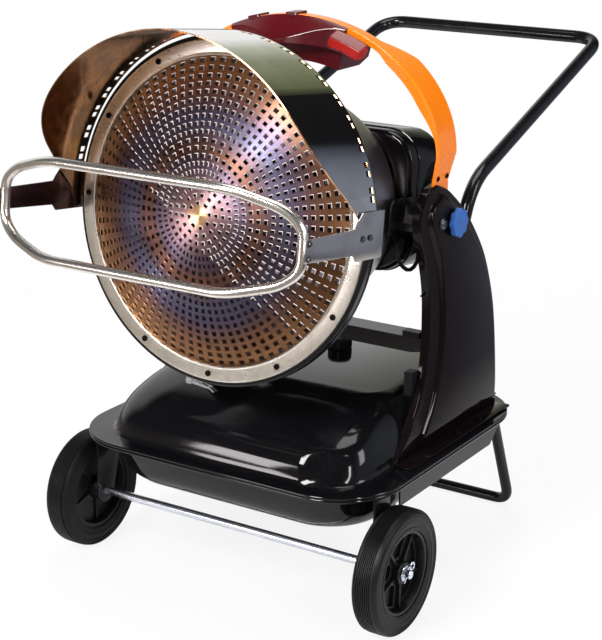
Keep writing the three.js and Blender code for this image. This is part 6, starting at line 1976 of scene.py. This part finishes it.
@dataclass
class EmissionDisc:
    """The domed, perforated, heat-tinted disc that gives the heat.

    The counts are the holes in each row, from the inside. A lip gets a painted highlight, a
    near-white finish, where its normal has the least share along lit_way, and only beyond
    bright_least along bright_way: both ways are shares across and up, and point to the upper right.
    """

    radius: float = 251.0
    bulge: float = 53.0
    edge: float = 253.5
    sheet: float = 0.9
    crown: float = 9.0
    crown_sides: int = 16
    edge_sides: int = 152
    first_row: float = 20.0
    row_pitch: float = 12.4
    hole_height: float = 7.6
    lip: float = 0.62
    lip_rise: float = 1.1
    lit_way: tuple = (0.55, 0.8)
    lit_least: float = 0.22
    bright_way: tuple = (0.6, 0.8)
    bright_least: float = -40.0
    counts: tuple = (8, 14, 22, 30, 56, 56, 44, 44, 44, 76, 76, 76, 76, 76, 76, 76, 76, 76, 76)

    def height(self, radius: float) -> float:
        """Height of the dome at a radius.

        Args:
            radius: Distance from the middle.

        Returns:
            How far forward the surface lies.
        """
        ball = (self.radius ** 2 + self.bulge ** 2) / (2 * self.bulge)
        return self.edge + self.bulge - ball + math.sqrt(ball ** 2 - radius ** 2)

    def circle(self, form: Form, radius: float, count: int, filled: bool = False) -> list:
        """Adds one circle of the dome.

        Args:
            form: The form.
            radius: Its radius.
            count: Its corners.
            filled: True to close it.

        Returns:
            Its edges.
        """
        place = Matrix.Translation((0, 0, self.height(radius)))
        made = bmesh.ops.create_circle(form.bm, cap_ends=filled, cap_tris=filled, segments=count,
                                       radius=radius, matrix=place)
        rim = {v for v in made["verts"] if v.co.xy.length > radius * 0.9}
        return list({e for v in rim for e in v.link_edges if all(w in rim for w in e.verts)})

    def strips(self) -> list:
        """Inner radius, outer radius and number of holes of each row."""
        middles = [self.first_row + self.row_pitch * row for row in range(len(self.counts))]
        return [(middle - self.hole_height / 2, middle + self.hole_height / 2, count)
                for middle, count in zip(middles, self.counts)]

    def dome(self) -> Form:
        """Skins the plain dome, with two faces for each hole in its row."""
        form = Form()
        rings = [self.circle(form, self.crown, self.crown_sides, filled=True)]
        for low, high, count in self.strips():
            rings += [self.circle(form, low, count * 2), self.circle(form, high, count * 2)]
        rings.append(self.circle(form, self.radius, self.edge_sides))
        form.bridge(rings)
        form.outward()
        backward = [f for f in form.bm.faces if f.normal.z < 0]
        if len(backward) > len(form.bm.faces) / 2:
            bmesh.ops.reverse_faces(form.bm, faces=form.bm.faces)
        return form

    def holes(self, form: Form) -> list:
        """Picks every second face of each row.

        Args:
            form: The plain dome.

        Returns:
            The faces that become holes.
        """
        picked = []
        rows = self.strips()
        slack = 0.1
        for face in form.bm.faces:
            middle = face.calc_center_median()
            ends = [v.co.xy.length for v in face.verts]
            for low, high, count in rows:
                fits = min(ends) > low - slack and max(ends) < high + slack
                if fits and low < middle.xy.length < high:
                    turn = math.atan2(middle.y, middle.x) % FULL_TURN
                    if int(turn / FULL_TURN * count * 2) % 2 == 0:
                        picked.append(face)
        return picked

    def brighten(self, lips: Sequence[bmesh.types.BMFace]) -> None:
        """Marks the lips at the upper right that face the light, for a painted highlight.

        Args:
            lips: The faces of the lips.
        """
        for face in lips:
            normal, middle = face.normal, face.calc_center_median()
            across, up = self.lit_way
            lit = normal.x * across + normal.y * up > self.lit_least
            across, up = self.bright_way
            # Number 1, the near-white lip finish, is a painted highlight.
            face.material_index = int(lit and middle.x * across + middle.y * up > self.bright_least)

    def build(self) -> None:
        """Makes the dome, pierces its rows, raises their lips, paints a highlight on some lips and gives it a
        wall.
        """
        form = self.dome()
        holes = self.holes(form)
        lips = bmesh.ops.inset_individual(form.bm, faces=holes, thickness=self.lip, depth=self.lip_rise)
        form.bm.normal_update()
        self.brighten(set(lips["faces"]) - set(holes))
        bmesh.ops.delete(form.bm, geom=holes, context="FACES_ONLY")
        bmesh.ops.solidify(form.bm, geom=form.bm.faces, thickness=self.sheet)
        form.outward()
        # Faces turned backwards keep the plain disc finish, without the painted highlight.
        for face in form.bm.faces:
            if face.normal.z < 0.2:
                face.material_index = 0
        form.done("pierced_disc", "head", "disc_steel", DRUM_FACE, ["emission_disc"], sharp=50,
                  slot="heat_tinted", lining="lip_steel")


@dataclass
class DrumSet:
    """The ring, clamp band and dish of the drum, as sections of (radius, forward).

    The dish is given in shares of its radius and depth, and its wall as how much smaller and
    how much further forward the inside is.
    """

    steps: int = 144
    ring_section: tuple = ((249, 255), (249, 258), (249.6, 260.2), (251.5, 261), (253.4, 260.2),
                           (254.2, 258.2), (256, 258), (272.5, 258), (275, 257.3), (276, 255),
                           (276, 236), (273, 236), (273, 255))
    screws: int = 12
    screw: tuple = (5.0, 3.0)
    screw_radius: float = 264.0
    screw_seat: float = 258.0
    band_section: tuple = ((276.3, 254), (280.6, 254), (282.4, 253.2), (283, 251.6), (281.4, 249.4),
                           (281.4, 238.6), (283, 236.4), (282.4, 234.8), (280.6, 234), (276.3, 234))
    dish_radius: float = 276.0
    dish_front: float = 254.7
    dish_depth: float = 277.7
    dish_shares: tuple = ((0.985, 0), (0.98, 0.07), (0.955, 0.12), (0.9, 0.17), (0.835, 0.24),
                          (0.78, 0.36), (0.735, 0.54), (0.695, 0.74), (0.665, 0.88), (0.62, 0.96),
                          (0.53, 0.99), (0.42, 1))
    dish_wall: tuple = (2.6, 1.2)
    dish_hole: float = 52.3
    floor_sheet: float = 3.0

    def ring(self) -> None:
        """Makes the bright ring with its bead, rolled rim and screws."""
        Form().turn(self.ring_section, self.steps).done(
            "bright_ring", "head", "ring_steel", DRUM_FACE, ["front_ring"], slot="stainless")
        screws = Form()
        for t in turns(self.screws):
            seat = (self.screw_radius * math.cos(t), self.screw_radius * math.sin(t), self.screw_seat)
            screws.with_part(bolt_head(*self.screw), Matrix.Translation(seat))
        screws.done("ring_screws", "head", "dark_steel", DRUM_FACE)

    def band(self) -> None:
        """Makes the black clamp band with rolled edges."""
        Form().turn(self.band_section, self.steps).done(
            "rolled_band", "head", "black_satin", DRUM_FACE, ["clamp_band"])

    def dish(self) -> None:
        """Makes the dark dish behind the ring."""
        outer = [(self.dish_radius * reach, self.dish_front - self.dish_depth * deep)
                 for reach, deep in flowing(self.dish_shares, 4)]
        smaller, forward = self.dish_wall
        inner = [(r - smaller, w + forward) for r, w in reversed(outer[1:-1])]
        floor = outer[-1][1]
        profile = [*outer, (self.dish_hole, floor), (self.dish_hole, floor + self.floor_sheet), *inner,
                   (outer[0][0] - self.floor_sheet, self.dish_front)]
        Form().turn(profile, self.steps).done(
            "spun_dish", "head", "dish_steel", DRUM_FACE, ["drum"], sharp=40, slot="dark_steel")

    def build(self) -> None:
        """Makes every piece of the set."""
        self.ring()
        self.band()
        self.dish()


@dataclass
class Visor:
    """The wide mirror-bright hood over the disc.

    Angles are in degrees from the right. The slots stand in pairs, each between its two ends
    forward, or at its shares of the sheet's depth where that is less. The edge gives shares
    of the reach for heights in shares of the radius.
    """

    radius: float = 290.0
    sheet: float = 2.0
    rear: float = 250.0
    reach: float = 162.0
    low: float = -5.0
    divisions: int = 96
    first_slot: float = 11.7
    slot_pitch: float = 7.7
    slot_gap: float = 2.7
    slot_turn: float = 1.75
    slot_clear: float = 0.35
    pairs: int = 21
    slot_ends: tuple = (255.0, 266.0)
    slot_shares: tuple = (0.3, 0.7)
    rows: int = 20
    edge: tuple = ((0.07, -0.14), (0.12, 0), (0.34, 0.124), (0.51, 0.22), (0.7, 0.32), (0.84, 0.42),
                   (0.93, 0.52), (0.98, 0.64), (1, 0.8))

    def front_at(self, angle: float) -> float:
        """How far forward the sheet reaches at an angle.

        Args:
            angle: Degrees from the right.

        Returns:
            The forward distance.
        """
        rise = math.sin(math.radians(angle))
        curve = flowing(self.edge, 6)
        if rise >= curve[-1][1]:
            return self.rear + self.reach
        for (reach_a, rise_a), (reach_b, rise_b) in zip(curve, curve[1:]):
            if rise_a <= rise <= rise_b:
                t = (rise - rise_a) / (rise_b - rise_a)
                return self.rear + self.reach * min(reach_a + (reach_b - reach_a) * t, 1)
        return self.rear + self.reach * curve[0][0]

    def columns(self) -> tuple:
        """Angles of the sheet's columns, and which columns are slots.

        Returns:
            The angles and a set of column numbers.
        """
        whole = 180 - 2 * self.low
        marks = {round(self.low + whole * i / self.divisions, 3) for i in range(self.divisions + 1)}
        slots = []
        for i in range(self.pairs):
            for shift in (0, self.slot_gap):
                start = self.first_slot + self.slot_pitch * i + shift - self.slot_turn / 2
                slots.append((round(start, 3), round(start + self.slot_turn, 3)))
        clear = self.slot_clear
        marks = {m for m in marks if not any(a - clear < m < b + clear for a, b in slots)}
        for pair in slots:
            marks |= set(pair)
        angles = sorted(marks)
        return angles, {angles.index(a) for a, _ in slots}

    def forward(self, angle: float, row: int) -> float:
        """How far forward one row of the sheet lies.

        Args:
            angle: Degrees from the right.
            row: The row, counted from the rear.

        Returns:
            The forward distance.
        """
        front = self.front_at(angle)
        depth = front - self.rear
        steps = [self.rear]
        steps += [min(end, self.rear + share * depth) for end, share in zip(self.slot_ends, self.slot_shares)]
        if row < len(steps):
            return steps[row]
        return steps[-1] + (front - steps[-1]) * (row - 2) / (self.rows - 2)

    def build(self) -> None:
        """Pierces the slots in a flat sheet, bends it to the visor's curve and gives it a wall."""
        angles, openings = self.columns()
        across = len(angles) - 1
        form = Form()
        bmesh.ops.create_grid(form.bm, x_segments=across, y_segments=self.rows, size=1)
        for face in list(form.bm.faces):
            middle = face.calc_center_median()
            column = int((middle.x + 1) / 2 * across)
            row = int((middle.y + 1) / 2 * self.rows)
            if column in openings and row == 1:
                form.bm.faces.remove(face)
        for corner in form.bm.verts:
            angle = angles[round((corner.co.x + 1) / 2 * across)]
            row = round((corner.co.y + 1) / 2 * self.rows)
            t = math.radians(angle)
            corner.co = (self.radius * math.cos(t), self.radius * math.sin(t), self.forward(angle, row))
        form.outward()
        bmesh.ops.solidify(form.bm, geom=form.bm.faces, thickness=self.sheet)
        form.outward()
        # Inner faces get the tinted lining with painted highlight streaks; forward-facing edges get it as
        # painted shade.
        for face in form.bm.faces:
            outwards = Vector((*face.calc_center_median().xy, 0)).normalized()
            face.material_index = int(face.normal.dot(outwards) < -0.5 or face.normal.z > 0.5)
        form.done("slotted_visor", "head", "visor_steel", DRUM_FACE, ["visor"], slot="mirror_steel",
                  lining="visor_lining")


@dataclass
class Guard:
    """The bent wire guard and its two bolted brackets.

    The corner is the guard's upper right quarter, from the side to the middle. A bracket's
    plate and bolts are drawn from the side, as (forward, up).
    """

    corner: tuple = ((282, 32, 444), (252, 56, 452.8), (173, 77, 476))
    tube: float = 8.0
    bend: float = 30.0
    face: float = 290.3
    sheet: float = 2.5
    plate: tuple = ((234, -28), (236, -30), (310, -30), (312, -28), (319, -20), (452, -17), (454, -15),
                    (454, 15), (452, 17), (319, 20), (312, 29), (298, 43), (236, 43), (234, 41))
    pad_size: tuple = (15.7, 20.0, 8.3)
    pad_place: tuple = (241.9, 0.0, 286.5)
    bolt: tuple = (4.5, 3.2)
    bolts: tuple = ((444, 11), (444, -11), (295, 3), (273, 3))

    def loop(self) -> None:
        """Bends the endless guard tube."""
        upper = mirrored_run(self.corner)
        lower = [(-u, -v, w) for u, v, w in upper]
        route = bent([*upper, *lower], self.bend, 8, True)
        Form().pipe(route, self.tube, 24, True).done(
            "bent_guard", "head", "guard_steel", DRUM_FACE, ["guard_loop"], sharp=60, slot="stainless")

    def bracket(self, side: Side) -> None:
        """Makes one bracket with its pad and bolts.

        Args:
            side: Which side it is on.
        """
        outer = self.face + self.sheet
        form = Form().plate(self.plate, self.face, outer).soften(0.6, 2, 40)
        form.with_part(Form().block(self.pad_size, self.pad_place).soften(0.8, 2))
        for forward, up in self.bolts:
            bolt = bolt_head(*self.bolt, Fastener.HEXAGON)
            for facet in bolt.bm.faces:
                facet.material_index = 1
            form.with_part(bolt, Matrix.Translation((forward, up, outer)))
        from_side = Matrix(((0, 0, 1, 0), (0, 1, 0, 0), (1, 0, 0, 0), (0, 0, 0, 1)))
        # The left bracket is darker than the right one: painted shade.
        steel = "stainless" if side is Side.RIGHT else "burnt_steel"
        form.done(f"bolted_bracket_{side.label}", "head", steel, DRUM_FACE @ side.mirror() @ from_side,
                  [f"guard_bracket_{side.label}"], lining="nut_steel")

    def build(self) -> None:
        """Makes the guard."""
        self.loop()
        for side in Side:
            self.bracket(side)


@dataclass
class Burner:
    """The black burner housing behind the dish.

    Attributes:
        half_width: Half its width.
        bottom: Its underside, from the head's axis.
        top: Its top, from the head's axis.
        corner: Radius of its long corners.
        front: Where its side walls begin.
        rear: Its rear face.
        wall: Thickness of its walls.
        inlet: Radius of the round inlet.
        inlet_lip: Depth of each of the two steps into the inlet.
        rounding: Radius of the edge round its rear face.
        front_rounds: The rounded front edge: how far back, and how far in.
        front_hole: How far in its open front begins.
        bead_back: How far behind the front the bead runs.
        bead: Radius of the bead.
    """

    half_width: float = 196.0
    bottom: float = -100.0
    top: float = 140.0
    corner: float = 58.0
    front: float = -14.0
    rear: float = -142.0
    wall: float = 4.0
    inlet: float = 72.0
    inlet_lip: float = 0.6
    rounding: float = 26.0
    front_rounds: tuple = ((0, 9), (0.8, 4.5), (3.5, 1.4), (8, 0))
    front_hole: float = 34.0
    bead_back: float = 28.0
    bead: float = 1.7

    def ring(self, forward: float, inset_by: float) -> list:
        """One outline of the housing.

        Args:
            forward: How far forward it lies.
            inset_by: How far it is drawn in.

        Returns:
            Its points.
        """
        outline = rounded_box(-self.half_width + inset_by, self.half_width - inset_by,
                              self.bottom + inset_by, self.top - inset_by, self.corner - inset_by / 2, 12)
        return [(u, v, forward) for u, v in outline]

    def mouth(self, forward: float) -> list:
        """The round inlet's outline, point by point with the housing's.

        Args:
            forward: How far forward it lies.

        Returns:
            Its points.
        """
        middle = (self.top + self.bottom) / 2
        points = []
        for u, v, _ in self.ring(forward, 0):
            t = math.atan2((v - middle) / (self.top - middle), u / self.half_width)
            points.append((self.inlet * math.cos(t), middle + self.inlet * math.sin(t), forward))
        return points

    def build(self) -> None:
        """Makes the housing: walls, big rear rounding, rear face and inlet."""
        front, rear, wall = self.front, self.rear, self.wall
        leans = [math.radians(degrees) for degrees in range(0, 91, 10)]
        rounds = [(rear + self.rounding * (1 - math.sin(t)), self.rounding * (1 - math.cos(t)))
                  for t in leans]
        rows = [self.ring(front - back, inset_by) for back, inset_by in self.front_rounds]
        rows += [self.ring(forward, inset_by) for forward, inset_by in rounds]
        rows += [self.mouth(rear + deep) for deep in (self.inlet_lip, self.inlet_lip * 2, wall)]
        rows += [self.ring(forward + wall, inset_by + wall) for forward, inset_by in reversed(rounds)]
        rows += [self.ring(front - 9, 8), self.ring(front - wall, self.front_hole),
                 self.ring(front, self.front_hole)]
        form = Form()
        form.bridge([form.draw(row) for row in rows], closed=True)
        bead = [Vector((u, v, front - self.bead_back)) for u, v, _ in self.ring(0, -0.6)]
        form.with_part(Form().pipe(bead, self.bead, 8, closed=True))
        form.done("moulded_housing", "head", "black_gloss", HEAD @ FORWARD, ["burner_housing"], sharp=40)


def dress_cad_nodes() -> None:
    """Gives every CAD node that stays the finish of its slot."""
    for part in frame["record"]["subparts"]:
        node = frame["nodes"][part["node"]]
        node.data.materials.clear()
        node.data.materials.append(PAINTS.get(part["material_slot"]))


def main() -> None:
    """Builds the studio and the heater, piece by piece."""
    Studio().set_up()
    dress_cad_nodes()
    makers = [Undercarriage(), Tank(), *(SideArm(side) for side in Side), Arch(), Console(), Handles(),
              Clamp(), EmissionDisc(), DrumSet(), Visor(), Guard(), Burner()]
    for maker in makers:
        maker.build()
        log.info("built %s", type(maker).__name__)


if __name__ == "__main__":
    main()
